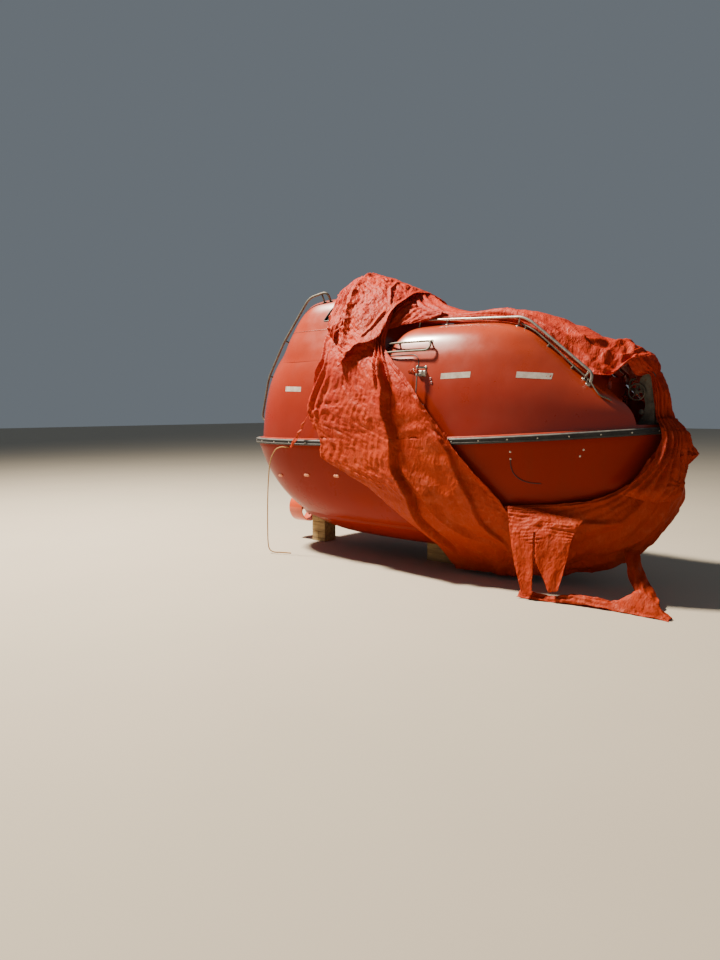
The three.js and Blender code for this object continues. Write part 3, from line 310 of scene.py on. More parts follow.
def cover_cloth():
    """Woven plastic sheet: fine weave, crumples, pale creases (partly wear, partly painted highlight), orange
    low down as painted light, some light let through.
    """
    look = Finish("cover_cloth", "cover_cloth")
    clouds = look.patches(1.7, 5, 0.6, 0.38, 0.66)
    colour = look.mix(clouds, (0.50, 0.040, 0.011, 1), (0.42, 0.025, 0.012, 1))
    # Orange lower down the sheet: painted light, standing in for sun shining through the sheet and the orange
    # hull's glow on it
    low = look.ramp(look.plus(look.axis("Z"), look.noise(1.3, 3)), 1.7, 2.6, 1.0, 0.0)
    colour = look.mix(look.times(low, 0.5), colour, (0.42, 0.048, 0.005, 1))
    warp = look.node("VectorMath", operation="MULTIPLY_ADD")
    tangle = look.node("TexNoise")
    look.feed(tangle.inputs["Vector"], look.place)
    tangle.inputs["Scale"].default_value = 6.0
    look.feed(warp.inputs[0], tangle.outputs["Color"])
    warp.inputs[1].default_value = (0.09, 0.09, 0.09)
    look.feed(warp.inputs[2], look.stretched((1.5, 1.5, 0.8)))
    wide, narrow, tight = (look.cells(scale, warp.outputs[0]) for scale in (9.0, 21.0, 47.0))
    # Paler crease ridges in patches: partly wear, partly a painted highlight on the ridges
    pale_creases_and_highlight = look.times(look.ramp(narrow, 0.5, 0.8), look.patches(11.0, 5, 0.7, 0.45, 0.7))
    colour = look.mix(look.times(pale_creases_and_highlight, 0.30), colour, (0.70, 0.17, 0.09, 1))
    dust = look.patches(4.0, 7, 0.75, 0.52, 0.8, 0, 0.30)
    colour = look.mix(dust, colour, (0.56, 0.17, 0.09, 1))
    weave = look.node("TexWave", wave_type="BANDS", bands_direction="DIAGONAL")
    look.feed(weave.inputs["Vector"], look.place)
    weave.inputs["Scale"].default_value = 130.0
    height = look.plus(look.times(wide, 0.9), look.times(narrow, 0.55))
    height = look.plus(height, look.times(tight, 0.34))
    height = look.plus(height, look.times(weave.outputs["Fac"], 0.012))
    normal = look.bump(height, 0.85, 0.0095)
    look.finish(Base_Color=colour, Roughness=look.ramp(look.noise(30.0, 4), 0.3, 0.7, 0.48, 0.66),
                Normal=normal, Specular_IOR_Level=0.18)
    through = look.node("BsdfTranslucent")
    look.feed(through.inputs["Color"], (0.72, 0.07, 0.015, 1))
    look.feed(through.inputs["Normal"], normal)
    share = look.node("MixShader")
    share.inputs[0].default_value = 0.25
    look.tree.links.new(look.shader.outputs[0], share.inputs[1])
    look.tree.links.new(through.outputs[0], share.inputs[2])
    look.tree.links.new(share.outputs[0], look.tree.nodes["Material Output"].inputs["Surface"])
    return look


def glass():
    look = Finish("window_glass", "window_glass")
    haze = look.patches(14.0, 6, 0.7, 0.4, 0.8, 0.06, 0.3)
    colour = look.mix(look.noise(5.0, 4), tint(34, 44, 46), tint(66, 74, 70))
    return look.finish(Base_Color=colour, Roughness=haze, IOR=1.49, Coat_Weight=0.5)


def tape():
    look = Finish("reflective_tape", "steel")
    lines = look.ramp(look.cells(240.0, feature="DISTANCE_TO_EDGE"), 0.0, 0.12, 0.75, 1.0)
    base = look.mix(look.patches(16.0, 6, 0.7, 0.35, 0.7), tint(205, 196, 186), tint(168, 152, 140))
    colour = look.mix(lines, tint(120, 104, 96), base)
    worn = look.patches(30.0, 8, 0.8, 0.62, 0.68)
    colour = look.mix(worn, colour, tint(188, 104, 72))
    return look.finish(Base_Color=colour, Roughness=0.38, Metallic=0.15)


def rope_fibre():
    look = Finish("rope_fibre", "rope_fibre")
    strands = look.noise(180.0, 5, 0.7)
    colour = look.mix(look.ramp(strands, 0.3, 0.7), tint(196, 150, 92), tint(140, 96, 54))
    return look.finish(Base_Color=colour, Roughness=0.9, Normal=look.bump(strands, 0.6, 0.003))


FINISHES = {
    "gelcoat": gelcoat("gelcoat", "gelcoat", (0.26, 0.014, 0.001, 1), (0.42, 0.050, 0.012, 1),
                       (0.22, 0.013, 0.001, 1)),
    # The hull's gelcoat is darker than the canopy's: partly heavier weathering, partly painted shade for the
    # hull's shaded sides
    "hull": gelcoat("hull_gelcoat_darkened_for_shade", "gelcoat", (0.24, 0.011, 0.001, 1), (0.44, 0.05, 0.012, 1),
                    (0.17, 0.007, 0.001, 1), 0.35, 0.7, 0.10),
    "liner": plain_paint("liner", "liner", tint(214, 208, 196), tint(190, 182, 168), 4.0),
    "rubber": rubber(),
    "glass": glass(),
    "steel": plain_paint("steel", "steel", tint(176, 174, 168), tint(128, 124, 116), 24.0,
                         (0.28, 0.5), 0.85),
    "old_steel": plain_paint("weathered_steel", "weathered_steel", tint(112, 108, 98), tint(76, 72, 64), 14.0,
                             (0.45, 0.7), 0.55, 0.3, tint(116, 70, 44)),
    "bronze": plain_paint("bronze", "bronze", tint(168, 128, 74), tint(110, 96, 62), 20.0,
                          (0.3, 0.55), 0.9),
    "nozzle": gelcoat("nozzle_paint", "nozzle_paint", (0.62, 0.07, 0.012, 1), (0.66, 0.14, 0.06, 1),
                      (0.40, 0.04, 0.01, 1), 0.4, 0.9),
    "engine": plain_paint("engine_paint", "engine_paint", tint(98, 106, 112), tint(70, 76, 80), 8.0),
    "timber": timber(),
    "rope": rope_fibre(),
    "cloth": cover_cloth(),
    "tape": tape(),
    "bolt": plain_paint("bolt_heads", "steel", tint(212, 208, 198), tint(170, 160, 146), 60.0,
                        (0.3, 0.5), 0.4),
    "vent": plain_paint("vent", "nozzle_paint", tint(120, 22, 16), tint(70, 14, 12), 40.0),
    "peach": plain_paint("faded_fitting", "gelcoat", tint(232, 150, 112), tint(204, 112, 76), 30.0,
                         (0.4, 0.6)),
}


THINNEST = 0.0002
BOX_FACES = ((0, 1, 3, 2), (4, 6, 7, 5), (0, 4, 5, 1), (2, 3, 7, 6), (0, 2, 6, 4), (1, 5, 7, 3))


def circle(centre, across, over, radius, sides):
    """Points of a circle that lies in two directions."""
    turns = (2 * math.pi * k / sides for k in range(sides))
    return [centre + (across * math.cos(t) + over * math.sin(t)) * radius for t in turns]


def crossways(along, before=None):
    """Two directions across a path, carried on without twist from the one before."""
    across = along.orthogonal() if before is None else before - along * before.dot(along)
    across.normalize()
    return across, along.cross(across)


class Shape:
    """Points and faces of one piece, gathered from simple parts."""

    def __init__(self):
        self.points = []
        self.faces = []
        self.slots = []

    def add(self, points, faces, slot=0):
        base = len(self.points)
        self.points.extend(tuple(p) for p in points)
        self.faces.extend([base + i for i in face] for face in faces)
        self.slots.extend([slot] * len(faces))
        return self

    def rings(self, rings, closed_ends=True, joined=False, slot=0):
        """Skins equal rings of points, each ring closed. joined makes the last ring meet the first."""
        count = len(rings[0])
        points = [p for ring in rings for p in ring]
        faces = []
        for level in range(len(rings) if joined else len(rings) - 1):
            low, high = level * count, ((level + 1) % len(rings)) * count
            for i in range(count):
                j = (i + 1) % count
                faces.append((low + i, low + j, high + j, high + i))
        if closed_ends and not joined:
            faces.append(tuple(range(count))[::-1])
            faces.append(tuple((len(rings) - 1) * count + i for i in range(count)))
        return self.add(points, faces, slot)

    def lathe(self, start, axis, profile, sides=20, slot=0):
        """profile is (distance along the axis, radius) from one end to the other."""
        axis = Vector(axis).normalized()
        across, over = crossways(axis)
        start = Vector(start)
        return self.rings([circle(start + axis * along, across, over, max(radius, THINNEST), sides)
                           for along, radius in profile], slot=slot)

    def flange(self, place, normal, radius, thick=0.007, sides=24):
        """A round foot plate with a bevelled edge."""
        edge = 0.002
        return self.lathe(place, normal, ((0, radius), (thick, radius), (thick + edge, radius - edge)), sides)

    def barrel(self, start, axis, bore, radius, length, edge, sides, slot=0):
        """A bored barrel. edge is the size of its bevel along the axis and across it."""
        along, in_by = edge
        profile = ((0, bore), (0, radius - in_by), (along, radius), (length - along, radius),
                   (length, radius - in_by), (length, bore))
        return self.lathe(start, axis, profile, sides, slot)

    def rod(self, start, end, radius, sides=16, slot=0):
        start, end = Vector(start), Vector(end)
        length = (end - start).length
        edge = min(radius * 0.25, length * 0.2)
        profile = ((0, radius - edge), (edge, radius), (length - edge, radius), (length, radius - edge))
        return self.lathe(start, end - start, profile, sides, slot)

    def bolt(self, place, axis, radius, height, slot=0, sides=12):
        """A domed head on a washer."""
        profile = ((-0.004, radius * 1.5), (height * 0.2, radius * 1.5), (height * 0.25, radius),
                   (height * 0.7, radius), (height * 0.95, radius * 0.6), (height, 0.0))
        return self.lathe(place, axis, profile, sides, slot)

    def tube(self, path, radius, sides=14, closed=False, slot=0):
        path = [Vector(p) for p in path]
        count = len(path)
        rings = []
        across = None
        for i, p in enumerate(path):
            before = path[i - 1] if closed or i else path[0]
            after = path[(i + 1) % count] if closed or i + 1 < count else path[-1]
            across, over = crossways((after - before).normalized(), across)
            rings.append(circle(p, across, over, radius, sides))
        return self.rings(rings, joined=closed, slot=slot)

    def box(self, low, high, slot=0):
        (x0, y0, z0), (x1, y1, z1) = low, high
        points = [(x, y, z) for x in (x0, x1) for y in (y0, y1) for z in (z0, z1)]
        return self.add(points, BOX_FACES, slot)

    def slab(self, outline, low, high, slot=0):
        """A plate in the XZ plane, from Y low to Y high."""
        return self.rings([[(x, y, z) for x, z in outline] for y in (low, high)], slot=slot)

    def object(self, name):
        """The piece itself, in the scene."""
        mesh = bpy.data.meshes.new(name)
        mesh.from_pydata(self.points, [], self.faces)
        mesh.polygons.foreach_set("material_index", self.slots)
        mesh.validate()
        obj = bpy.data.objects.new(name, mesh)
        bpy.context.collection.objects.link(obj)
        return obj


def reshape(obj, change):
    """Runs a change on the mesh of an object."""
    work = bmesh.new()
    work.from_mesh(obj.data)
    change(work)
    work.to_mesh(obj.data)
    work.free()
    return obj


def outward(obj):
    """Makes every face of a closed mesh look outwards."""
    return reshape(obj, lambda work: bmesh.ops.recalc_face_normals(work, faces=work.faces))


def weld(obj, distance):
    """Joins points that lie together, and drops the walls between neighbours that this leaves doubled."""
    def change(work):
        bmesh.ops.remove_doubles(work, verts=work.verts, dist=distance)
        alike = {}
        for face in work.faces:
            alike.setdefault(tuple(sorted(v.index for v in face.verts)), []).append(face)
        doubled = [face for faces in alike.values() if len(faces) > 1 for face in faces]
        bmesh.ops.delete(work, geom=doubled, context="FACES")
    return reshape(obj, change)


def without_loose_points(obj):
    return reshape(obj, lambda work: bmesh.ops.delete(
        work, geom=[v for v in work.verts if not v.link_faces], context="VERTS"))


def dress(obj, finishes, body="boat", replaces=(), bevel=0.0, sharp=38, segments=2):
    """Gives a piece its finishes, its body and its soft edges."""
    if isinstance(finishes, str):
        finishes = (finishes,)
    obj.data.materials.clear()
    for key in finishes:
        obj.data.materials.append(FINISHES[key].material)
    if obj.type == "MESH":
        outward(obj)
        obj.data.shade_smooth()
        obj.data.set_sharp_from_angle(angle=math.radians(sharp))
        if bevel:
            made = obj.modifiers.new("soft_edges", "BEVEL")
            made.width = bevel
            made.segments = segments
            made.limit_method = "ANGLE"
            made.angle_limit = math.radians(sharp)
            made.harden_normals = False
    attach(obj, body)
    if replaces:
        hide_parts(*replaces)
    return obj


def bake(obj):
    """Applies every modifier of a mesh."""
    shown = obj.evaluated_get(bpy.context.evaluated_depsgraph_get())
    mesh = bpy.data.meshes.new_from_object(shown)
    obj.modifiers.clear()
    obj.data = mesh
    return obj


def carve(obj, operation, *tools):
    """Joins to or cuts from a closed mesh, and removes the tools."""
    for tool in tools:
        outward(tool)
        made = obj.modifiers.new("carve", "BOOLEAN")
        made.operation = operation
        made.solver = "MANIFOLD"
        made.object = tool
    bake(obj)
    for tool in tools:
        bpy.data.objects.remove(tool)
    return obj


def sheer_rise(x):
    """How far the sheer line rises above its height amidships."""
    return 0.04 * x + 0.01 * x * x


def signed_power(value, power):
    return np.sign(value) * np.abs(value) ** power


def ring_angles(quarter, aft_power):
    """Angles round a ring that share its points between flat runs and tight corners."""
    samples, length_to_breadth, least = 4000, 2.4, 0.0003

    def walk(power):
        angle = np.linspace(0, math.pi / 2, samples)
        x = np.cos(angle) ** (2 / power) * length_to_breadth
        y = np.sin(angle) ** (2 / power)
        along = np.concatenate([[0], np.cumsum(np.hypot(np.diff(x), np.diff(y)) + least)])
        return np.interp(np.linspace(0, along[-1], quarter + 1), along, angle)
    half = np.concatenate([walk(2.0), math.pi - walk(aft_power)[::-1][1:]])
    return np.concatenate([half, -half[::-1][1:-1]])


def level_ring(row, angles, centre=0.0):
    """The outline of a form at the level of one row of its table."""
    z, share, aft, fore, half, aft_power, fore_x, fore_y = row
    c, s = np.cos(angles), np.sin(angles)
    ahead = c >= 0
    reach = np.where(ahead, fore - centre, centre - aft)
    x = centre + reach * signed_power(c, 2 / np.where(ahead, fore_x, aft_power))
    y = half * signed_power(s, 2 / np.where(ahead, fore_y, aft_power))
    return np.stack([x, y, z + share * sheer_rise(x)], axis=-1)


def refine(table, spacing, corners=()):
    """Rows between the rows of a form table, on a smooth curve that keeps the named corner rows."""
    rows = np.array(table, float)
    step = np.hypot(np.diff(rows[:, 0]), np.diff(rows[:, 4]))
    slope = np.diff(rows, axis=0) / step[:, None]
    out = []
    for i, length in enumerate(step):
        start = end = slope[i]
        if i and i not in corners:
            start = (slope[i - 1] * length + slope[i] * step[i - 1]) / (length + step[i - 1])
        if i + 1 < len(step) and i + 1 not in corners:
            end = (slope[i + 1] * length + slope[i] * step[i + 1]) / (length + step[i + 1])
        cuts = max(1, round(length / spacing))
        for k in range(cuts):
            u = k / cuts
            out.append((2 * u ** 3 - 3 * u ** 2 + 1) * rows[i] + (u ** 3 - 2 * u ** 2 + u) * length * start
                       + (3 * u ** 2 - 2 * u ** 3) * rows[i + 1] + (u ** 3 - u ** 2) * length * end)
    return out + [rows[-1]]


def sunk(points):
    """The valley across the canopy in front of the steering tower."""
    x, z = points[..., 0], points[..., 2]
    share = np.clip((z - VALLEY["from"]) / (VALLEY["to"] - VALLEY["from"]), 0, 1)
    fall = VALLEY["depth"] * np.exp(-((x - VALLEY["x"]) / VALLEY["width"]) ** 2)
    fall *= share * share * (3 - 2 * share)
    out = points.copy()
    out[..., 2] = z - (z - SHEER_Z) * fall
    return out


def grown(rings, distance):
    """Rings moved along the normals of the surface that they span."""
    around = np.roll(rings, -1, axis=1) - np.roll(rings, 1, axis=1)
    up = np.gradient(rings, axis=0)
    normal = np.cross(around, up)
    length = np.linalg.norm(normal, axis=-1, keepdims=True)
    return rings + normal / np.maximum(length, 1e-9) * distance


HULL_ANGLES = ring_angles(56, 5.0)
TOWER_ANGLES = ring_angles(40, 5.0)
HULL_RINGS = np.array([level_ring(row, HULL_ANGLES) for row in refine(HULL_FORM, 0.045, (6,))])
CANOPY_RINGS = sunk(np.array([level_ring(row, HULL_ANGLES) for row in refine(CANOPY_FORM, 0.035, (1, 2))]))
TOWER_RINGS = np.array([level_ring(row, TOWER_ANGLES, TOWER_CENTRE) for row in refine(TOWER_FORM, 0.03)])
SHEER_RING = level_ring(HULL_FORM[-1], HULL_ANGLES)


def solid_of(name, rings):
    return outward(Shape().rings(rings).object(name))


def tree_of(*stacks):
    """A tree for casting rays at the outer faces of lofted forms."""
    shape = Shape()
    for rings in stacks:
        shape.rings(rings)
    return BVHTree.FromPolygons(shape.points, shape.faces)


def flared(rings, tree, reach, skin=0.0004):
    """Rings whose lower rows lie on another form as a thin skirt and leave it in a smooth curve.

    Only the two sides are changed: the share of the skirt grows over fade metres outwards and aft."""
    side, front, top, fade = 0.3, -0.5, 2.9, 0.2
    normals = grown(rings, 1.0) - rings
    out = rings.copy()
    x, y, z = rings[..., 0], rings[..., 1], rings[..., 2]
    for i, j in np.argwhere((np.abs(y) > side) & (x < front) & (z < top)):
        place = Vector(rings[i, j])
        near, normal, _, distance = tree.find_nearest(place)
        rise = max(reach - distance, 0) ** 2 / (4 * reach)
        if (place - near).dot(normal) < 0:
            target = near + normal * (rise + skin)
        else:
            target = place + Vector(normals[i, j]) * (rise + skin * max(1 - distance / reach, 0))
        share = min((abs(place.y) - side) / fade, 1) * min((front - place.x) / fade, 1)
        out[i, j] = place.lerp(target, share)
    return out


TOWER_RINGS = flared(TOWER_RINGS, tree_of(CANOPY_RINGS), 0.042)
HULL_TREE = tree_of(HULL_RINGS)
CANOPY_TREE = tree_of(CANOPY_RINGS)
TOWER_TREE = tree_of(TOWER_RINGS)
BOAT_TREE = tree_of(HULL_RINGS, CANOPY_RINGS, TOWER_RINGS)

# Ways of looking at the boat's surface. Each turns two numbers into a ray.
VIEWS = {
    "starboard": lambda a, b: ((a, -3, b), (0, 1, 0)),
    "port": lambda a, b: ((a, 3, b), (0, -1, 0)),
    "fore": lambda a, b: ((4, a, b), (-1, 0, 0)),
    "aft": lambda a, b: ((-4, a, b), (1, 0, 0)),
    "top": lambda a, b: ((a, b, 5), (0, 0, -1)),
}


def on(tree, view, a, b):
    """The place and the outward normal of the surface where a view's ray meets it."""
    origin, along = VIEWS[view](a, b)
    place, normal, _, _ = tree.ray_cast(Vector(origin), Vector(along))
    if place is None:
        raise ValueError(f"no surface at {view} {a:.3f} {b:.3f}")
    if normal.dot(Vector(along)) > 0:
        normal = -normal
    return place, normal


def traced(tree, view, outline, lift):
    """Places over a surface, along an outline in a view."""
    return [place + normal * lift for place, normal in (on(tree, view, a, b) for a, b in outline)]


def rounded_outline(centre, half, corner, inset=0.0, scale=1.0, cuts=8, lean=0.0):
    """Points of a rounded rectangle, as many whatever its inset and scale. lean slants its aft edge."""
    a, b = half[0] - inset, half[1] - inset
    r = max(corner - inset, 0.001)
    points = []
    for quarter, (sign_a, sign_b) in enumerate(((1, 1), (-1, 1), (-1, -1), (1, -1))):
        for k in range(cuts + 1):
            turn = math.pi / 2 * (quarter + k / cuts)
            points.append((sign_a * (a - r) + r * math.cos(turn), sign_b * (b - r) + r * math.sin(turn)))
    out = []
    for i, (p, q) in enumerate(points):
        nxt = points[(i + 1) % len(points)]
        out.append((p, q))
        gap = math.dist((p, q), nxt)
        if gap > 0.5 * min(a, b):
            out.extend((p + (nxt[0] - p) * k / 6, q + (nxt[1] - q) * k / 6) for k in range(1, 6))
    if lean:
        out = [(p + lean * (q + half[1]) / (2 * half[1]) * max(-p / half[0], 0), q) for p, q in out]
    return [(centre[0] + p * scale, centre[1] + q * scale) for p, q in out]


def patch(shape, tree, view, centre, half, corner, profile, thick, slot=0, rings=7, lean=0.0):
    """A lid that follows the surface. profile is (inset, lift) from its edge inwards."""
    stack = []
    inset, lift = profile[-1]
    innermost = 0.02
    levels = [(i, h, 1.0) for i, h in profile] + [(inset, lift, 1 - k / rings) for k in range(1, rings)]
    levels += [(inset, lift, innermost)]
    for front in (True, False):
        for i, h, scale in (levels if front else levels[::-1]):
            outline = rounded_outline(centre, half, corner, i, scale, lean=lean)
            stack.append(traced(tree, view, outline, h if front else min(h, lift) - thick))
    count = len(stack) // 2
    return shape.rings(stack[:count][::-1] + stack[count:][::-1], slot=slot)


# Rope first, along the CAD's route: out of the hull, over the fender and down to the ground
ROPE_RADIUS = 0.007
ROPE_PATH = (
    (-1.560, -1.024, 1.312), (-1.562, -1.075, 1.312), (-1.600, -1.108, 1.318), (-1.680, -1.120, 1.290),
    (-1.740, -1.124, 1.220), (-1.790, -1.126, 1.100), (-1.815, -1.128, 0.900), (-1.828, -1.130, 0.700),
    (-1.834, -1.130, 0.500), (-1.838, -1.128, 0.300), (-1.842, -1.120, 0.140), (-1.838, -1.100, 0.050),
    (-1.810, -1.060, 0.014), (-1.750, -1.010, 0.008), (-1.680, -0.980, 0.008), (-1.610, -0.960, 0.008),
)


def catmull(points, t):
    """Points on a Catmull-Rom curve through an array of points, at shares t from 0 to 1."""
    points = np.asarray(points, float)
    place = np.clip(t, 0, 1) * (len(points) - 1)
    i = np.minimum(place.astype(int), len(points) - 2)
    f = (place - i).reshape(-1, *([1] * (points.ndim - 1)))
    a, b = points[np.maximum(i - 1, 0)], points[i]
    c, d = points[i + 1], points[np.minimum(i + 2, len(points) - 1)]
    return b + 0.5 * f * (c - a + f * (2 * a - 5 * b + 4 * c - d + f * (3 * (b - c) + d - a)))


def smooth_path(points, cuts):
    """A smooth path through points, with some cuts between each pair."""
    shares = np.linspace(0, 1, (len(points) - 1) * cuts + 1)
    return [Vector(p) for p in catmull(points, shares)]


def make_rope():
    """Three-strand rope: a tube with three lobes that turn along it."""
    path = smooth_path(ROPE_PATH, 40)
    sides, lobes, lay = 18, 3, 0.045
    rings = []
    walked = 0.0
    across = None
    for i, p in enumerate(path):
        walked += (p - path[i - 1]).length if i else 0
        ahead = path[min(i + 1, len(path) - 1)] - path[max(i - 1, 0)]
        across, over = crossways(ahead.normalized(), across)
        turn = 2 * math.pi * walked / lay
        ring = []
        for k in range(sides):
            t = 2 * math.pi * k / sides
            radius = ROPE_RADIUS * (0.78 + 0.22 * abs(math.cos(lobes / 2 * (t - turn))))
            ring.append(p + (across * math.cos(t) + over * math.sin(t)) * radius)
        rings.append(ring)
    rope = dress(Shape().rings(rings).object("rope_to_ground"), "rope", replaces=("rope",), sharp=80)


make_rope()


# Hull: outer moulding, inner floor and the trunk that the nozzle's stock turns in
def make_hull():
    floor_clear, floor_share = 0.1, 0.97
    inside = grown(HULL_RINGS, -WALL)
    above = inside[inside[:, :, 2].mean(axis=1) > FLOOR_Z + floor_clear]
    floor = above[0].copy()
    floor[:, :2] *= floor_share
    floor[:, 2] = FLOOR_Z
    shell = Shape().rings(list(HULL_RINGS) + list(above[::-1]) + [floor])
    for i in range(len(HULL_RINGS) * len(HULL_ANGLES), len(shell.faces)):
        shell.slots[i] = 1
    hull = outward(shell.object("hull_moulding"))
    x, (z, length, radius, bore, bore_z, bore_length) = PROPELLER["x"], TRUNK.values()
    trunk = Shape().lathe((x, 0, z), UP, ((0, radius - 0.002), (0.004, radius), (length - 0.004, radius),
                                          (length, radius - 0.002)), 28)
    hole = Shape().lathe((x, 0, bore_z), UP, ((0, bore), (bore_length, bore)), 24)
    carve(hull, "UNION", trunk.object("trunk"))
    carve(hull, "DIFFERENCE", hole.object("bore"))
    dress(hull, ("hull", "liner"), replaces=("hull",))


make_hull()


# Canopy: hollow moulding with bow and stern notches, hatch openings and the way into the tower
FAR, HIGH = 4, 3.4       # beyond the boat, and above it


def side_prism(name, inset, side):
    outline = rounded_outline(HATCH_CENTRE, HATCH_HALF, HATCH["corner"], inset)
    low, high = sorted((side * 0.5, side * 1.3))
    return outward(Shape().slab(outline, low, high).object(name))


def block(name, low, high):
    return outward(Shape().box(low, high).object(name))


def seat_of(prism):
    """Leaves of a prism what lies outside the canopy's skin, to cut a lid's seat with."""
    return carve(prism, "DIFFERENCE", solid_of("inner", grown(CANOPY_RINGS, -HATCH["skin"] - 0.001)))


def make_canopy():
    canopy = solid_of("canopy_moulding", CANOPY_RINGS)
    under = grown(CANOPY_RINGS, -WALL)
    under[0] = under[2]
    under[0, :, 2] = SHEER_Z - 0.05 + sheer_rise(under[0, :, 0])
    under = np.concatenate([under[:1], under[3:]])
    inside = solid_of("inside", under)
    half, wall = NOTCH["half"], NOTCH["wall"]
    bow, stern = NOTCH["bow_x"], NOTCH["stern_x"]
    carve(inside, "DIFFERENCE",
          block("bow_block", (bow - wall, -half - wall, NOTCH["bow_deck"] - wall), (FAR, half + wall, HIGH)),
          block("stern_block", (-FAR, -half - wall, NOTCH["stern_deck"] - wall),
                (stern + wall, half + wall, NOTCH["stern_roof"] + 0.04)))
    cuts = [inside,
            block("bow_cut", (bow, -half, NOTCH["bow_deck"]), (FAR, half, HIGH)),
            block("stern_cut", (-FAR, -half, NOTCH["stern_deck"]), (stern, half, NOTCH["stern_roof"])),
            solid_of("tower_inside", grown(TOWER_RINGS, -WALL))]
    for _, side in SIDES:
        cuts += [side_prism("way", HATCH["gap"] + HATCH["rim"], side), seat_of(side_prism("step", 0, side))]
    wide, (low, high), (aft, fore) = STERN_HATCH["half"], STERN_HATCH["z"], STERN_HATCH["cut"]
    edge = HATCH["gap"] + STERN_HATCH["rim"]
    cuts += [seat_of(block("stern_step", (aft, -wide, low), (fore, wide, high))),
             block("stern_way", (aft, -wide + edge, low + edge), (fore, wide - edge, high - edge))]
    carve(canopy, "DIFFERENCE", *cuts)
    dress(canopy, "gelcoat", replaces=("canopy",), sharp=32)


make_canopy()

# Steering tower with a window on each face. Columns: view, centre, half size, corner, lean of the aft edge.
WINDOWS = {
    "starboard": ((-0.92, 2.90), (0.36, 0.10), 0.03, 0.12),
    "port": ((-0.92, 2.90), (0.36, 0.10), 0.03, 0.12),
    "fore": ((0.0, 2.8875), (0.42, 0.0975), 0.05, 0.0),
    "aft": ((0.0, 2.87), (0.33, 0.07), 0.04, 0.0),
}
WINDOW_NODES = {"starboard": "starboard", "port": "port", "fore": "front", "aft": "aft"}


# Where each window's opening is cut from and to, along its view
WINDOW_CUTS = {"starboard": (-0.95, -0.3), "port": (0.3, 0.95), "fore": (-0.72, -0.2), "aft": (-2.2, -1.7)}


def window_block(view, centre, half, corner, lean):
    outline = rounded_outline(centre, half, corner, lean=lean)
    if view in ("starboard", "port"):
        return outward(Shape().slab(outline, *WINDOW_CUTS[view]).object("window"))
    rings = [[(x, a, b) for a, b in outline] for x in WINDOW_CUTS[view]]
    return outward(Shape().rings(rings).object("window"))


def make_tower():
    tower = solid_of("tower_moulding", TOWER_RINGS)
    cuts = [solid_of("room", grown(TOWER_RINGS, -TOWER_WALL)), block("foot", (-3, -1, 2.2), (0, 1, 2.325))]
    cuts += [window_block(view, *place) for view, place in WINDOWS.items()]
    cuts.append(solid_of("seat", grown(CANOPY_RINGS, GAP)))
    carve(tower, "DIFFERENCE", *cuts)
    dress(tower, "gelcoat", replaces=("steering_tower",), sharp=32)
    for view, (centre, half, corner, lean) in WINDOWS.items():
        node = "tower_window_" + WINDOW_NODES[view]
        pane = patch(Shape(), TOWER_TREE, view, centre, half, corner,
                     ((0.001, -0.016), (0.003, -0.014)), 0.005, rings=6, lean=lean)
        dress(pane.object(node + "_pane"), "glass", replaces=(node,), sharp=50)
        outline = rounded_outline(centre, half, corner, 0.002, lean=lean)
        seal = Shape().tube(traced(TOWER_TREE, view, outline, -0.003), 0.009, 10, closed=True)
        dress(seal.object(node + "_seal"), "rubber", sharp=80)
    joint = level_ring(np.array(TOWER_FORM[3]), TOWER_ANGLES, TOWER_CENTRE)
    bead = Shape().tube([Vector(p) for p in joint], 0.0045, 8, closed=True)
    dress(bead.object("tower_joint_bead"), "gelcoat", sharp=80)


make_tower()


# Rubbing fender: a moulded rubber section with a channel that its bolts sit in
def fender_outward():
    around = np.roll(SHEER_RING, -1, axis=0) - np.roll(SHEER_RING, 1, axis=0)
    out = np.stack([around[:, 1], -around[:, 0], np.zeros(len(around))], axis=-1)
    return out / np.linalg.norm(out, axis=-1, keepdims=True)


def make_fender():
    depth, half = FENDER["depth"], FENDER["half"]
    # Columns: distance out from the hull, height from the centre line
    lower = ((GAP, -half), (depth - 0.016, -half), (depth - 0.006, -half + 0.004), (depth, -half + 0.014),
             (depth, -0.014), (depth - 0.004, -0.011))
    section = lower + tuple((far, -high) for far, high in lower[::-1])
    out = fender_outward()
    body = Shape().rings([[Vector(seat) + Vector(way) * far + UP * high for far, high in section]
                          for seat, way in zip(SHEER_RING, out)], joined=True)
    dress(body.object("fender_rubber_section"), "rubber", replaces=("fender",), sharp=50)
    path = np.concatenate([SHEER_RING, SHEER_RING[:1]])
    walked = np.concatenate([[0], np.cumsum(np.linalg.norm(np.diff(path, axis=0), axis=1))])
    count = round(walked[-1] / FENDER["bolts"])
    bolts = Shape()
    ways = np.concatenate([out, out[:1]])
    for k in range(count):
        goal = (k + 0.5) * walked[-1] / count
        place, way = (Vector([np.interp(goal, walked, line[:, axis]) for axis in range(3)])
                      for line in (path, ways))
        way.normalize()
        bolts.bolt(place + way * (depth - 0.0062), way, 0.0075, 0.0058)
    dress(bolts.object("fender_bolts"), "bolt", sharp=30)


make_fender()


# Hatches
def hinge_point(z, side, out=0.0):
    (foot_y, foot_z), (top_y, top_z) = HINGE["foot"], HINGE["top"]
    share = (z - foot_z) / (top_z - foot_z)
    return Vector((HINGE["x"], side * (foot_y + share * (top_y - foot_y) + out), z))


def bar_section(place, normal, low, high, across):
    """Four corners of a flat bar that lies on a surface."""
    return [place + normal * low - across, place + normal * high - across,
            place + normal * high + across, place + normal * low + across]


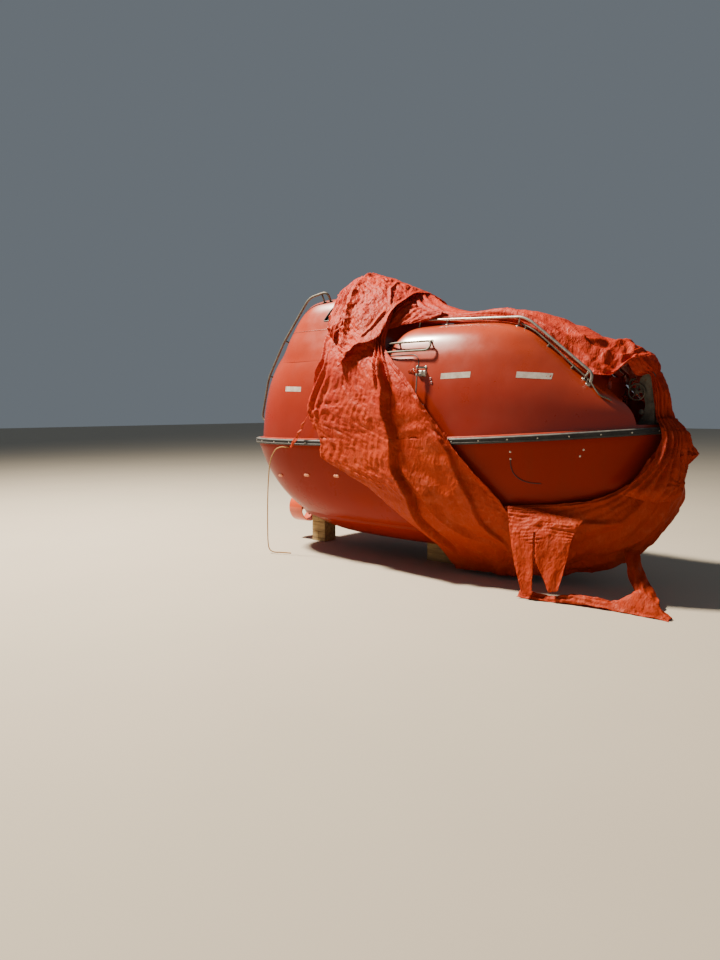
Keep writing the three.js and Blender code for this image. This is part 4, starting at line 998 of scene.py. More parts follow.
def side_hatch(name, side):
    gap, skin = HATCH["gap"], HATCH["skin"]
    profile = ((gap, -skin + 0.002), (gap, -0.006), (gap + 0.003, 0.0), (gap + 0.03, 0.0),
               (gap + 0.045, 0.006), (gap + 0.06, 0.006))
    lid = patch(Shape(), CANOPY_TREE, name, HATCH_CENTRE, HATCH_HALF, HATCH["corner"], profile, skin + 0.006,
                rings=9)
    along = (hinge_point(2.2, side) - hinge_point(1.7, side)).normalized()
    for z in HINGE["heights"]:
        start = hinge_point(z, side) - along * 0.026
        lid.barrel(start, along, 0.0085, 0.015, 0.052, (0.003, 0.002), 24, slot=1)
        strap = []
        for step in range(9):
            x = HINGE["x"] - 0.012 - 0.135 * step / 8
            place, normal = on(CANOPY_TREE, name, x, z)
            lift = 0.014 if step > 1 else 0.014 + (2 - step) * 0.014
            half = 0.022 if step < 7 else 0.022 - 0.006 * (step - 6)
            strap.append(bar_section(place, normal, lift - 0.012, lift, UP * half))
        lid.rings(strap, slot=1)
        for x in (HINGE["x"] - 0.075, HINGE["x"] - 0.115):
            place, normal = on(CANOPY_TREE, name, x, z)
            lid.bolt(place + normal * 0.014, normal, 0.006, 0.005, slot=1)
    place, normal = on(CANOPY_TREE, name, HATCH["x"][0] + 0.10, 1.93)
    lid.lathe(place, normal, ((0, 0.034), (0.012, 0.034), (0.016, 0.030), (0.016, 0.016), (0.034, 0.014),
                              (0.036, 0.0)), 24, slot=1)
    bends = ((0.0, 0.0), (0.02, -0.05), (0.035, -0.13))
    grip = [place + normal * 0.03 + Vector((dx, 0, dz)) for dx, dz in bends]
    lid.tube(smooth_path(grip, 6), 0.008, 12, slot=1)
    body = "port_hatch" if side > 0 else "boat"
    dress(lid.object(name + "_hatch_lid"), ("gelcoat", "steel"), body, (name + "_hatch",), 0.0015, 40)


def side_hinge(name, side):
    hinge = Shape()
    low, high = HINGE["heights"]
    hinge.rod(hinge_point(low - 0.062, side), hinge_point(high + 0.062, side), 0.007, 16)
    for z in HINGE["heights"]:
        for end in (-1, 1):
            near = hinge_point(z + end * 0.028, side)
            far = hinge_point(z + end * 0.052, side)
            hinge.rod(near, far, 0.015, 24)
            foot = (near + far) / 2
            place, normal = on(CANOPY_TREE, name, foot.x + 0.055, foot.z)
            bracket = []
            for share in (0.0, 0.35, 0.7, 1.0):
                depth = 0.011 - 0.006 * share
                centre = foot.lerp(place + normal * 0.004, share)
                bracket.append(bar_section(centre, normal, -depth, depth, UP * 0.010))
            hinge.rings(bracket)
            pad, way = on(CANOPY_TREE, name, foot.x + 0.058, foot.z)
            hinge.flange(pad - way * 0.002, way, 0.017, 0.006, 20)
            hinge.bolt(pad + way * 0.006, way, 0.006, 0.005)
    metal = hinge.object(name + "_hinge_metal")
    dress(metal, "steel", replaces=(name + "_hatch_hinge",), bevel=0.001, sharp=40)


def hatch_rim(piece, view, inset, lift):
    """A rubber bead round a side hatch."""
    radius = 0.0045
    outline = rounded_outline(HATCH_CENTRE, HATCH_HALF, HATCH["corner"], inset)
    bead = Shape().tube(traced(CANOPY_TREE, view, outline, lift), radius, 8, closed=True)
    dress(bead.object(piece), "rubber", sharp=80)


for name, side in SIDES:
    side_hatch(name, side)
    side_hinge(name, side)
    hatch_rim(name + "_hatch_seal", name, 0.017, -HATCH["skin"] - 0.0045)
    # On the starboard side a rubber lip also lies flush in the hatch's gap: partly a seal, partly painted shade
    # that darkens the gap line
    if name == "starboard":
        hatch_rim("starboard_hatch_gap_shade_lip", name, 0.003, 0.001)


def stern_hatch():
    wide, (low, high) = STERN_HATCH["half"], STERN_HATCH["z"]
    x, z = STERN_HATCH["hinge"]
    gap = HATCH["gap"]
    profile = ((gap, -HATCH["skin"] + 0.002), (gap, -0.005), (gap + 0.003, 0.0), (gap + 0.02, 0.0),
               (gap + 0.03, 0.005), (gap + 0.04, 0.005))
    lid = patch(Shape(), CANOPY_TREE, "aft", (0, (low + high) / 2), (wide, (high - low) / 2), 0.02, profile,
                HATCH["skin"] + 0.005, rings=6)
    for y in (-0.15, 0.15):
        lid.barrel((x, y - 0.025, z), (0, 1, 0), 0.0075, 0.013, 0.05, (0.002, 0.002), 20, slot=1)
        strap = []
        for step in range(6):
            level = z - 0.012 - 0.075 * step / 5
            place, normal = on(CANOPY_TREE, "aft", y, min(level, high - 0.008))
            lift = 0.012 if step > 1 else 0.012 + 0.012 * (2 - step) / 2
            strap.append(bar_section(place, normal, lift - 0.01, lift, Vector((0, 0.018, 0))))
        lid.rings(strap, slot=1)
    place, normal = on(CANOPY_TREE, "aft", 0.0, low + 0.07)
    handle = ((0, 0.03), (0.01, 0.03), (0.014, 0.02), (0.03, 0.012), (0.032, 0.0))
    lid.lathe(place, normal, handle, 24, slot=1)
    grip = [place + normal * 0.026 + Vector((0, dy, 0)) for dy in (-0.07, -0.03, 0.03, 0.07)]
    lid.tube(grip, 0.007, 12, slot=1)
    dress(lid.object("stern_hatch_lid"), ("gelcoat", "steel"), "stern_hatch", ("stern_hatch",), 0.0015, 40)
    hinge = Shape().rod((x, -0.205, z), (x, 0.205, z), 0.006)
    for y in (-0.19, -0.11, 0.11, 0.19):
        hinge.rod((x, y - 0.012, z), (x, y + 0.012, z), 0.013, 20)
        place, normal = on(CANOPY_TREE, "aft", y, z + 0.035)
        hinge.rod((x, y, z), place - normal * 0.002, 0.008, 12)
        hinge.flange(place - normal * 0.002, normal, 0.016, 0.005, 18)
    dress(hinge.object("stern_hinge_metal"), "steel", replaces=("stern_hatch_hinge",), bevel=0.001, sharp=40)


stern_hatch()


# Bow hatch on the aft wall of the bow notch
def bow_hatch():
    x, deck = NOTCH["bow_x"], NOTCH["bow_deck"]
    low, high = deck + 0.04, 2.08
    centre, half = (0, (low + high) / 2), (0.215, (high - low) / 2)
    profile = ((0.0, GAP), (0.0, 0.012), (0.004, 0.018), (0.035, 0.018), (0.045, 0.022), (0.08, 0.022))
    lid = Shape().rings([[(x + out, a, b) for a, b in rounded_outline(centre, half, 0.05, inset)]
                         for inset, out in profile])
    for z in (low + 0.08, high - 0.08):
        lid.rod((x + 0.024, -0.212, z - 0.035), (x + 0.024, -0.212, z + 0.035), 0.009, 16, slot=1)
        lid.box((x + 0.018, -0.20, z - 0.018), (x + 0.024, -0.13, z + 0.018), slot=1)
    handle = ((0, 0.03), (0.012, 0.03), (0.016, 0.012), (0.04, 0.01))
    lid.lathe((x + 0.018, 0.15, centre[1]), (1, 0, 0), handle, 20, slot=1)
    lid.tube([(x + 0.052, 0.15, centre[1] + dz) for dz in (0.02, 0.0, -0.06, -0.1)], 0.007, 12, slot=1)
    dress(lid.object("bow_hatch_lid"), ("gelcoat", "steel"), replaces=("bow_hatch",), bevel=0.0015, sharp=40)


bow_hatch()


# Lifting hooks on their posts
HOOK = {"x": 2.18, "post": 0.13, "cheek": 0.012, "spread": 0.021, "pin": 0.011, "thick": 0.026,
        "pivot": (-0.052, 0.395), "top": 0.505}


def turned(outline, end, middle, deck):
    return [(middle + x * end, deck + z) for x, z in outline][::end]


def hook_post(name, end, deck):
    top, (pivot_x, pivot_z) = HOOK["top"], HOOK["pivot"]
    cheek, spread = HOOK["cheek"], HOOK["spread"]
    middle = end * (HOOK["x"] + HOOK["post"])
    outline = ((-0.11, 0), (0.06, 0), (0.06, top * 0.86), (0.052, top * 0.94), (0.028, top), (-0.012, top),
               (-0.06, top - 0.025), (-0.088, pivot_z + 0.04), (-0.095, pivot_z), (-0.088, pivot_z - 0.045),
               (-0.045, 0.25), (-0.03, 0.19), (-0.05, 0.09))
    post = Shape()
    for low in (-spread - cheek, spread):
        post.slab(turned(outline, end, middle, deck + GAP), low, low + cheek)
    near, far = sorted((middle - end * 0.125, middle + end * 0.075))
    post.box((near, -0.095, deck + GAP), (far, 0.095, deck + 0.014))
    near, far = sorted((middle + end * 0.04, middle + end * 0.06))
    post.box((near, -spread, deck + 0.005), (far, spread, deck + top * 0.85))
    at = Vector((middle + end * pivot_x, 0, deck + pivot_z))
    reach = spread + cheek + 0.008
    post.rod(at - Vector((0, reach, 0)), at + Vector((0, reach, 0)), HOOK["pin"], 24)
    for y in (-1, 1):
        face = y * (spread + cheek)
        post.flange((at.x, face, at.z), (0, y, 0), 0.021, 0.004)
        for dx, dz in ((0.03, 0.44), (0.03, 0.34), (0.03, 0.22), (0.03, 0.10), (-0.05, 0.05)):
            post.bolt((middle + end * dx, face, deck + dz), (0, y, 0), 0.008, 0.007)
    for dx in (-0.105, 0.055):
        for y in (-0.07, 0.07):
            post.bolt((middle + end * dx, y, deck + 0.014), UP, 0.009, 0.009)
    plates = post.object(name + "_post_plates")
    dress(plates, "old_steel", replaces=(name + "_hook_post",), bevel=0.002, sharp=35)


def hook(name, end, deck):
    pivot_x, pivot_z = HOOK["pivot"]
    centre = Vector((end * (HOOK["x"] + HOOK["post"] + pivot_x), 0, deck + pivot_z))
    half = HOOK["thick"] / 2
    shape = Shape()
    middle = Vector((centre.x - end * 0.096, 0, centre.z - 0.006))
    rings = []
    for k in range(25):
        turn = math.pi * (0.45 + 1.65 * k / 24)
        way = Vector((end * math.cos(turn), 0, math.sin(turn)))
        taper = 1.0 if k > 3 else 0.55 + 0.15 * k
        inner, outer = 0.050 - 0.012 * taper, 0.050 + 0.012 * taper
        edge = half * (0.75 + 0.25 * taper)
        half_ring = ((inner, -edge * 0.6), (inner, edge * 0.6), (inner + 0.004, edge), (outer - 0.004, edge))
        other_half = ((outer, edge * 0.6), (outer, -edge * 0.6), (outer - 0.004, -edge), (inner + 0.004, -edge))
        rings.append([middle + way * far + Vector((0, y, 0)) for far, y in half_ring + other_half])
    shape.rings(rings)
    shape.barrel((centre.x, -half, centre.z), (0, 1, 0), 0.0118, 0.027, 2 * half, (0.003, 0.003), 28)
    near, far = sorted((centre.x - end * 0.05, centre.x - end * 0.02))
    shape.box((near, -half + 0.001, centre.z - 0.014), (far, half - 0.001, centre.z + 0.014))
    dress(shape.object(name + "_hook_bend"), "old_steel", name + "_hook", (name + "_hook",), 0.001, 40)


for name, end, deck in (("bow", 1, NOTCH["bow_deck"]), ("stern", -1, NOTCH["stern_deck"])):
    hook_post(name, end, deck)
    hook(name, end, deck)

# Rails: points along each tube, for the starboard side
RAIL_RADIUS = 0.014
CANOPY_RAIL = ((-0.06, 0.48, 2.60), (-0.04, 0.48, 2.742), (1.19, 0.48, 2.684), (1.29, 0.48, 2.636),
               (1.93, 0.48, 2.106), (1.915, 0.48, 2.02))
CANOPY_RAIL_POSTS = ((0.31, 0.48, 2.735), (1.17, 0.48, 2.690), (1.90, 0.48, 2.134))
CANOPY_RAIL_ENDS = ((-0.055, 0.48, 2.62), (1.92, 0.48, 2.05))
STERN_RAIL = ((-1.312, 0.52, 3.02), (-1.312, 0.60, 3.165), (-1.60, 0.61, 3.118), (-2.04, 0.62, 2.60),
              (-2.30, 0.64, 2.17), (-2.44, 0.64, 1.64), (-2.28, 0.64, 1.56))
STERN_RAIL_POSTS = ((-1.40, 0.604, 3.150), (-2.02, 0.62, 2.625), (-2.29, 0.64, 2.190))


def rounded_path(corners, radius, cuts=7):
    corners = [Vector(c) for c in corners]
    path = [corners[0]]
    for before, corner, after in zip(corners, corners[1:], corners[2:]):
        into, out = before - corner, after - corner
        reach = min(radius, into.length * 0.45, out.length * 0.45)
        start, end = corner + into.normalized() * reach, corner + out.normalized() * reach
        for k in range(cuts + 1):
            f = k / cuts
            path.append(start.lerp(corner, f).lerp(corner.lerp(end, f), f))
    return path + [corners[-1]]


def nearest(tree, place):
    point, normal, _, _ = tree.find_nearest(Vector(place))
    if (Vector(place) - point).dot(normal) < 0:
        normal = -normal
    return point, normal


def post_to(shape, tree, start, radius, flange=0.024):
    """A post from a rail to the nearest surface, on a bolted flange."""
    foot, normal = nearest(tree, start)
    shape.rod(start, foot - normal * 0.002, radius, 14)
    shape.flange(foot - normal * 0.003, normal, flange)
    for place in circle(foot + normal * 0.006, *crossways(normal), flange * 0.68, 3):
        shape.bolt(place, normal, 0.0035, 0.0035, sides=8)


def make_rail(name, side, path, bend, posts, ends, tree, finish, node):
    """A bent tube with posts, and a flange where each end meets the mouldings."""
    rail = Shape().tube(rounded_path([(x, side * y, z) for x, y, z in path], bend), RAIL_RADIUS, 18)
    for x, y, z in posts:
        post_to(rail, tree, Vector((x, side * y, z)), 0.010)
    for x, y, z in ends:
        foot, normal = nearest(tree, (x, side * y, z))
        rail.flange(foot - normal * 0.003, normal, 0.026)
    dress(rail.object(name), finish, replaces=(node,), sharp=45)


def make_rails(name, side):
    make_rail(name + "_handrail_tube", side, CANOPY_RAIL, 0.07, CANOPY_RAIL_POSTS, CANOPY_RAIL_ENDS,
              CANOPY_TREE, "steel", "handrail_" + name)
    make_rail(name + "_stern_rail_tube", side, STERN_RAIL, 0.09, STERN_RAIL_POSTS,
              (STERN_RAIL[0], STERN_RAIL[-1]), BOAT_TREE, "old_steel", "stern_rail_" + name)


GRAB_RAIL = {"x": (-0.50, 0.39), "z": (2.372, 2.468), "out": 0.062, "feet": (-0.47, -0.06, 0.35)}


def grab_rail(name, side):
    (x0, x1), (low, high), out = GRAB_RAIL["x"], GRAB_RAIL["z"], GRAB_RAIL["out"]
    middle, r = (low + high) / 2, (high - low) / 2

    def off(x, z):
        place, _ = on(CANOPY_TREE, name, x, z)
        return place + Vector((0, side * out, 0))
    ring = []
    for start, way, level in ((x0 + r, 1, low), (x1 - r, -1, high)):
        ring += [off(start + way * (x1 - x0 - 2 * r) * k / 12, level) for k in range(13)]
        end = x1 - r if way > 0 else x0 + r
        ring += [off(end + way * r * math.cos(t), middle + way * r * math.sin(t))
                 for t in np.linspace(-1.2, 1.2, 9)]
    rail = Shape().tube(ring, 0.011, 14, closed=True)
    for x in GRAB_RAIL["feet"]:
        start = off(x, high)
        place, normal = on(CANOPY_TREE, name, x, high)
        rail.rod(start, place - Vector((0, side * 0.004, 0)), 0.009, 14)
        rail.flange(place - normal * 0.003, normal, 0.022, 0.006, 20)
    dress(rail.object(name + "_grab_rail_tube"), "old_steel", replaces=("grab_rail_" + name,), sharp=45)


for name, side in SIDES:
    make_rails(name, side)
    grab_rail(name, side)


# Skeg, propeller and steering nozzle
def make_skeg():
    skeg = Shape()
    outline = ((-2.05, 0.393), (-2.05, 0.62), (-1.60, 0.62), (-1.60, 0.393))
    plate = outward(skeg.slab(outline, -0.024, 0.024).object("skeg_plate"))
    tube = Shape().lathe((-2.155, 0, PROPELLER["z"]), (1, 0, 0),
                         ((0, 0.028), (0.004, 0.032), (0.38, 0.032)), 32).object("tube")
    carve(plate, "UNION", tube)
    bore = Shape().lathe((-2.17, 0, PROPELLER["z"]), (1, 0, 0), ((0, 0.0158), (0.10, 0.0158)), 24)
    under = block("under", (-2.3, -0.3, 0.2), (-1.3, 0.3, 0.3928))
    carve(plate, "DIFFERENCE", bore.object("bore"), under, solid_of("hull_form", grown(HULL_RINGS, GAP)))
    dress(plate, "nozzle", replaces=("skeg",), bevel=0.002, sharp=40)


make_skeg()


BLADE_SECTION = ((-1, 0), (-0.6, 0.7), (0, 1), (0.6, 0.7), (1, 0), (0.6, -0.7), (0, -1), (-0.6, -0.7))


def make_propeller():
    x, z, radius, hub, shaft, shaft_end = PROPELLER.values()
    boss = ((0, 0.006), (0.006, 0.018), (0.03, 0.032), (0.06, hub), (0.108, hub), (0.112, hub - 0.004),
            (0.112, 0.02))
    shape = Shape().lathe((x - 0.07, 0, z), (1, 0, 0), boss, 36)
    shape.rod((x + 0.03, 0, z), (shaft_end, 0, z), shaft, 24)
    for blade in range(3):
        turn = 2 * math.pi * blade / 3
        rings = []
        for k in range(13):
            share = k / 12
            r = hub * 0.8 + (radius - hub * 0.8) * share
            chord = 0.030 + 0.034 * math.sin(math.pi * min(share * 1.02, 1.0)) ** 0.7 * (1 - 0.35 * share)
            if k == 12:
                chord *= 0.25
            pitch = math.atan2(0.20, 2 * math.pi * r)
            thick = 0.006 * (1 - 0.75 * share) + 0.001
            ring = []
            for along, over in BLADE_SECTION:
                a = along * chord
                b = over * thick
                px = a * math.sin(pitch) + b * math.cos(pitch)
                angle = turn + (a * math.cos(pitch) - b * math.sin(pitch)) / r + 0.25 * share
                ring.append((x + px, r * math.sin(angle), z + r * math.cos(angle)))
            rings.append(ring)
        shape.rings(rings)
    dress(shape.object("propeller_cast"), "bronze", "propeller", ("propeller",), sharp=50)


make_propeller()


def make_nozzle():
    x, z = PROPELLER["x"], PROPELLER["z"]
    inner, outer, half = 0.176, 0.190, 0.12
    # Columns: distance along the shaft, radius
    section = ((-half, inner + 0.004), (-half, inner + 0.010), (-half * 0.9, inner + 0.015),
               (0.0, outer + 0.004), (half - 0.03, outer + 0.006), (half - 0.008, outer + 0.003),
               (half, inner + 0.010), (half - 0.012, inner + 0.003), (half - 0.04, inner), (0.0, inner + 0.001))
    shape = Shape().rings([[(x - a, r * math.cos(t), z + r * math.sin(t)) for a, r in section]
                           for t in (2 * math.pi * k / 72 for k in range(72))], joined=True)
    top = z + outer
    shape.lathe((x, 0, top - 0.004), UP, ((0, 0.017), (0.29, 0.017), (0.294, 0.014)), 28, slot=1)
    shape.lathe((x, 0, top - 0.006), UP, ((0, 0.044), (0.018, 0.044), (0.021, 0.041), (0.022, 0.018)), 32)
    for k in range(4):
        t = math.pi / 4 + k * math.pi / 2
        shape.bolt((x + 0.033 * math.cos(t), 0.033 * math.sin(t), top + 0.016), UP, 0.005, 0.005, slot=1)
    dress(shape.object("nozzle_ring"), ("nozzle", "steel"), "steering_nozzle", ("steering_nozzle",), sharp=40)


make_nozzle()

# Timber blocks: baulks stacked under the stern, one wide pad under the keel
BLOCK_AFT = {"x": (-2.05, -1.82), "half": 0.11, "top": 0.3927}
BLOCK_MID = {"x": (-0.11, 0.40), "half": 0.20, "top": 0.236}


def make_blocks():
    split, bed = 0.001, 0.0006
    (x0, x1), half, top = BLOCK_AFT.values()
    stack = Shape()
    middle = (x0 + x1) / 2
    for k in range(3):
        low, high = k * top / 3 + bed * bool(k), (k + 1) * top / 3
        if k % 2:
            stack.box((x0, -half, low), (x1, -split, high)).box((x0, split, low), (x1, half, high))
        else:
            stack.box((x0, -half, low), (middle - split, half, high))
            stack.box((middle + split, -half, low), (x1, half, high))
    dress(stack.object("aft_block_baulks"), "timber", replaces=("keel_block_aft",), bevel=0.006, sharp=30)
    (x0, x1), half, top = BLOCK_MID.values()
    middle = (x0 + x1) / 2
    pad = Shape().box((x0, -half, 0), (middle - split, half, top))
    pad.box((middle + split, -half, 0), (x1, half, top))
    made = outward(pad.object("mid_block_baulks"))
    carve(made, "DIFFERENCE", solid_of("keel", grown(HULL_RINGS, GAP)))
    dress(made, "timber", replaces=("keel_block_mid",), bevel=0.005, sharp=30)


make_blocks()


# Inside: benches with rounded edges and the engine casing
BENCH = {"x": (-1.45, 1.35), "y": (0.43, 1.2), "top": 0.86}


def make_inside():
    for name, side in SIDES:
        low, high = sorted((side * BENCH["y"][0], side * BENCH["y"][1]))
        (aft, fore), floor = BENCH["x"], FLOOR_Z + GAP
        bench = block(name + "_bench_box", (aft, low, floor), (fore, high, BENCH["top"]))
        carve(bench, "INTERSECT", solid_of("hull_inside", grown(HULL_RINGS, -WALL - 0.001)))
        dress(bench, "liner", replaces=("bench_" + name,), bevel=0.02, sharp=40, segments=3)
    casing = Shape().box((-1.65, -0.27, FLOOR_Z + GAP), (-0.98, 0.27, 1.01))
    for z in (0.60, 0.72, 0.84):
        casing.box((-0.985, -0.18, z), (-0.979, 0.18, z + 0.05))
    dress(casing.object("engine_casing"), "engine", replaces=("engine",), bevel=0.015, sharp=40, segments=3)


make_inside()

# Small trim on the mouldings. Tapes: x and z of each end, and the height of the strip.
TAPES = (((-1.69, 2.010), (-1.41, 2.000)), ((0.54, 2.100), (0.86, 2.110)), ((1.30, 2.100), (1.60, 2.080)))
TAPE_HEIGHT = 0.058


def make_tapes():
    strips = Shape()
    for name, _ in SIDES:
        for (x0, z0), (x1, z1) in TAPES:
            cuts = 10
            for k in range(cuts):
                corners = []
                for share in (k / cuts, (k + 1) / cuts):
                    for up in (-0.5, 0.5):
                        x = x0 + (x1 - x0) * share
                        z = z0 + (z1 - z0) * share + up * TAPE_HEIGHT
                        corners.append(on(CANOPY_TREE, name, x, z))
                low = [p - n * 0.001 for p, n in corners]
                high = [p + n * 0.0012 for p, n in corners]
                strips.add(low + high, BOX_FACES)
    dress(weld(strips.object("reflective_tapes"), 0.0002), "tape", sharp=60)


make_tapes()

# Fittings on the starboard side of the hull, mirrored to port. Columns: x, z.
HULL_PADS = ((-1.84, 0.95), (-1.30, 0.99), (-0.81, 1.01))
HULL_BOLTS = ((1.30, 1.38), (1.30, 1.31), (1.89, 1.35), (1.92, 1.41))
VENTS = ((0.425, 2.075), (0.44, 2.035))


def make_fittings():
    pads, bolts, vents = Shape(), Shape(), Shape()
    for name, _ in SIDES:
        for x, z in HULL_PADS:
            patch(pads, HULL_TREE, name, (x, z), (0.040, 0.016), 0.015,
                  ((0, 0.0), (0, 0.006), (0.003, 0.014), (0.007, 0.018)), 0.02, rings=3)
        for x, z in HULL_BOLTS:
            place, normal = on(HULL_TREE, name, x, z - 0.02)
            bolts.bolt(place, normal, 0.0065, 0.007)
        for x, z in VENTS:
            place, normal = on(CANOPY_TREE, name, x, z)
            vents.lathe(place - normal * 0.002, normal,
                        ((0, 0.016), (0.006, 0.016), (0.009, 0.010), (0.006, 0.0)), 16)
    dress(pads.object("becket_pads"), "peach", sharp=60)
    dress(bolts.object("hull_bolts"), "bolt", sharp=35)
    dress(vents.object("vent_plugs"), "vent", sharp=40)


make_fittings()


def make_trim():
    """Thin pipe along the slope of each handrail, the hinge cover, and the wheel beside the bow hook."""
    for name, side in SIDES:
        pipe = []
        for share in np.linspace(0, 1, 15):
            foot, normal = nearest(CANOPY_TREE, (1.20 + 0.73 * share, side * 0.48, 2.68 - 0.574 * share))
            pipe.append(foot + normal * 0.032)
        # The pipe's tail runs on over the top towards the notch in dark steel: partly the pipe, partly painted
        # shade along a dark shadow line there
        for x, y in ((1.98, 0.450), (2.03, 0.425), (2.08, 0.400)):
            foot, normal = on(CANOPY_TREE, "top", x, side * y)
            pipe.append(foot + normal * 0.014)
        shape = Shape().tube(smooth_path(pipe, 3), 0.008, 12)
        for k in (1, 6, 11, 14):
            foot, normal = nearest(CANOPY_TREE, pipe[k])
            shape.lathe(foot - normal * 0.002, normal,
                        ((0, 0.016), (0.005, 0.016), (0.007, 0.010), (0.036, 0.010)), 14)
        dress(shape.object(name + "_slope_pipe"), "old_steel", sharp=45)
    cover = patch(Shape(), CANOPY_TREE, "starboard", (0.318, 2.135), (0.050, 0.026), 0.010,
                  ((0, 0.0), (0, 0.022), (0.004, 0.028), (0.010, 0.030)), 0.032, rings=3)
    dress(cover.object("hinge_cover"), "bolt", bevel=0.001, sharp=40)
    centre, radius, spokes, first = Vector((2.20, -0.052, 1.935)), 0.078, 5, 0.3
    wheel = Shape().tube(circle(centre, Vector((1, 0, 0)), UP, radius, 40), 0.008, 10, closed=True)
    for k in range(spokes):
        t = 2 * math.pi * k / spokes + first
        wheel.rod(centre, centre + Vector((math.cos(t), 0, math.sin(t))) * (radius - 0.002), 0.006, 10)
    wheel.lathe(centre + Vector((0, -0.010, 0)), (0, 1, 0), ((0, 0.018), (0.004, 0.022), (0.022, 0.022)), 20)
    wheel.rod(centre + Vector((0.0, 0.012, 0)), centre + Vector((0.06, 0.018, 0)), 0.011, 12)
    wheel.lathe((2.247, -0.052, 1.742), (0, 1, 0), ((0, 0.010), (0.004, 0.026), (0.022, 0.026)), 18)
    dress(wheel.object("bow_release_wheel"), "old_steel", sharp=45)


make_trim()

# Lifeline: a thin cord that hangs from the forward bolts on the starboard side of the hull
LIFELINE = ((1.300, 1.285), (1.302, 1.220), (1.325, 1.150), (1.380, 1.095), (1.460, 1.065), (1.560, 1.058))


def make_lifeline():
    radius, clear = 0.0035, 0.0015
    path = smooth_path(traced(HULL_TREE, "starboard", LIFELINE, radius + clear), 8)
    line = dress(Shape().tube(path, radius, 10).object("lifeline"), "rope", sharp=80)
    line.data.materials[0] = FINISHES["rubber"].material


make_lifeline()

# Cover. Each grid is a sheet's control points in millimetres, rows by columns.
COVER_THICK = 0.003
BOAT_MIDDLE = np.array((0.1, 0, 1.4))
FURTHEST_OUT = 1.195
TOWER_COVER = (
    ((-1180, 715, 2880), (-900, 730, 2880), (-600, 725, 2880), (-340, 640, 2880)),
    ((-1180, 540, 3120), (-900, 550, 3160), (-600, 545, 3130), (-335, 480, 3050)),
    ((-1200, 200, 3190), (-900, 200, 3280), (-600, 200, 3220), (-330, 200, 3120)),
    ((-1250, -200, 3240), (-980, -200, 3345), (-620, -200, 3250), (-300, -200, 3090)),
    ((-1230, -500, 3100), (-980, -510, 3200), (-600, -520, 3140), (-280, -500, 2980)),
    ((-1200, -750, 2850), (-900, -785, 2850), (-600, -780, 2850), (-300, -700, 2820)),
    ((-1200, -860, 2600), (-870, -920, 2560), (-500, -920, 2510), (-280, -850, 2480)),
    ((-1180, -990, 2310), (-800, -1040, 2290), (-420, -1030, 2270), (-60, -1010, 2270)),
    ((-1240, -1040, 1990), (-720, -1080, 1980), (-220, -1090, 1970), (230, -1080, 2010)),
    ((-1260, -1070, 1700), (-700, -1100, 1700), (-120, -1110, 1710), (470, -1110, 1730)),
    ((-1100, -1110, 1420), (-500, -1120, 1430), (110, -1120, 1440), (700, -1080, 1460)),
    ((-920, -1120, 1170), (-300, -1130, 1130), (300, -1120, 1140), (940, -1020, 1190)),
    ((-420, -1080, 930), (80, -1100, 900), (630, -1060, 880), (1180, -920, 900)),
    ((20, -1000, 660), (380, -1000, 620), (850, -930, 620), (1320, -800, 680)),
    ((300, -780, 360), (700, -740, 340), (1120, -700, 380), (1500, -600, 440)),
    ((400, -500, 60), (750, -480, 50), (1150, -450, 50), (1550, -400, 120)),
)
RIDGE_COVER = (
    ((-300, -480, 2900), (-300, -330, 3040), (-300, 50, 3110), (-290, 450, 2950), (-285, 730, 2700)),
    ((0, -500, 2720), (0, -400, 2850), (0, 0, 2950), (0, 450, 2860), (0, 730, 2670)),
    ((450, -430, 2690), (450, -370, 2770), (430, 0, 2840), (450, 500, 2780), (470, 790, 2560)),
    ((1000, -430, 2640), (1000, -370, 2740), (1000, 0, 2800), (1000, 500, 2750), (1000, 830, 2460)),
    ((1370, -430, 2460), (1370, -360, 2610), (1370, 0, 2700), (1370, 450, 2620), (1400, 760, 2340)),
    ((1740, -430, 2150), (1790, -360, 2310), (1800, 0, 2500), (1800, 380, 2360), (1800, 660, 2050)),
    ((2045, -390, 2080), (2080, -320, 2160), (2140, 0, 2360), (2140, 280, 2240), (2120, 540, 1820)),
    ((2150, -250, 2210), (2210, -190, 2260), (2280, 0, 2310), (2290, 200, 2210), (2270, 440, 1740)),
    ((2220, -150, 2090), (2290, -120, 2175), (2335, 0, 2235), (2335, 140, 2150), (2340, 340, 1700)),
    ((2320, -70, 2100), (2345, -50, 2105), (2375, 20, 2100), (2370, 150, 2050), (2380, 310, 1680)),
    ((2360, -70, 1930), (2400, -50, 1930), (2465, 30, 1910), (2440, 150, 1880), (2420, 300, 1660)),
    ((2400, -90, 1690), (2430, -60, 1700), (2500, 50, 1710), (2480, 140, 1690), (2440, 220, 1680)),
    ((2480, -150, 1500), (2530, -90, 1490), (2615, 50, 1480), (2590, 200, 1480), (2530, 320, 1490)),
    ((2560, -180, 1340), (2640, -90, 1330), (2730, 60, 1330), (2680, 220, 1340), (2580, 360, 1350)),
)
BOW_SLING = (
    ((1240, -840, 820), (1360, -820, 580), (1420, -660, 300), (1450, -420, 60)),
    ((1760, -640, 870), (1860, -600, 600), (1840, -440, 320), (1800, -160, 140)),
    ((2030, -480, 930), (2160, -400, 660), (2100, -240, 380), (2020, 0, 190)),
    ((2270, -300, 1080), (2400, -200, 800), (2340, -60, 520), (2200, 120, 300)),
    ((2430, -190, 1360), (2560, -60, 1050), (2500, 80, 720), (2350, 220, 450)),
    ((2540, 0, 1480), (2600, 80, 1180), (2560, 220, 850), (2400, 380, 600)),
    ((2530, 240, 1480), (2560, 300, 1180), (2470, 420, 900), (2300, 520, 680)),
)
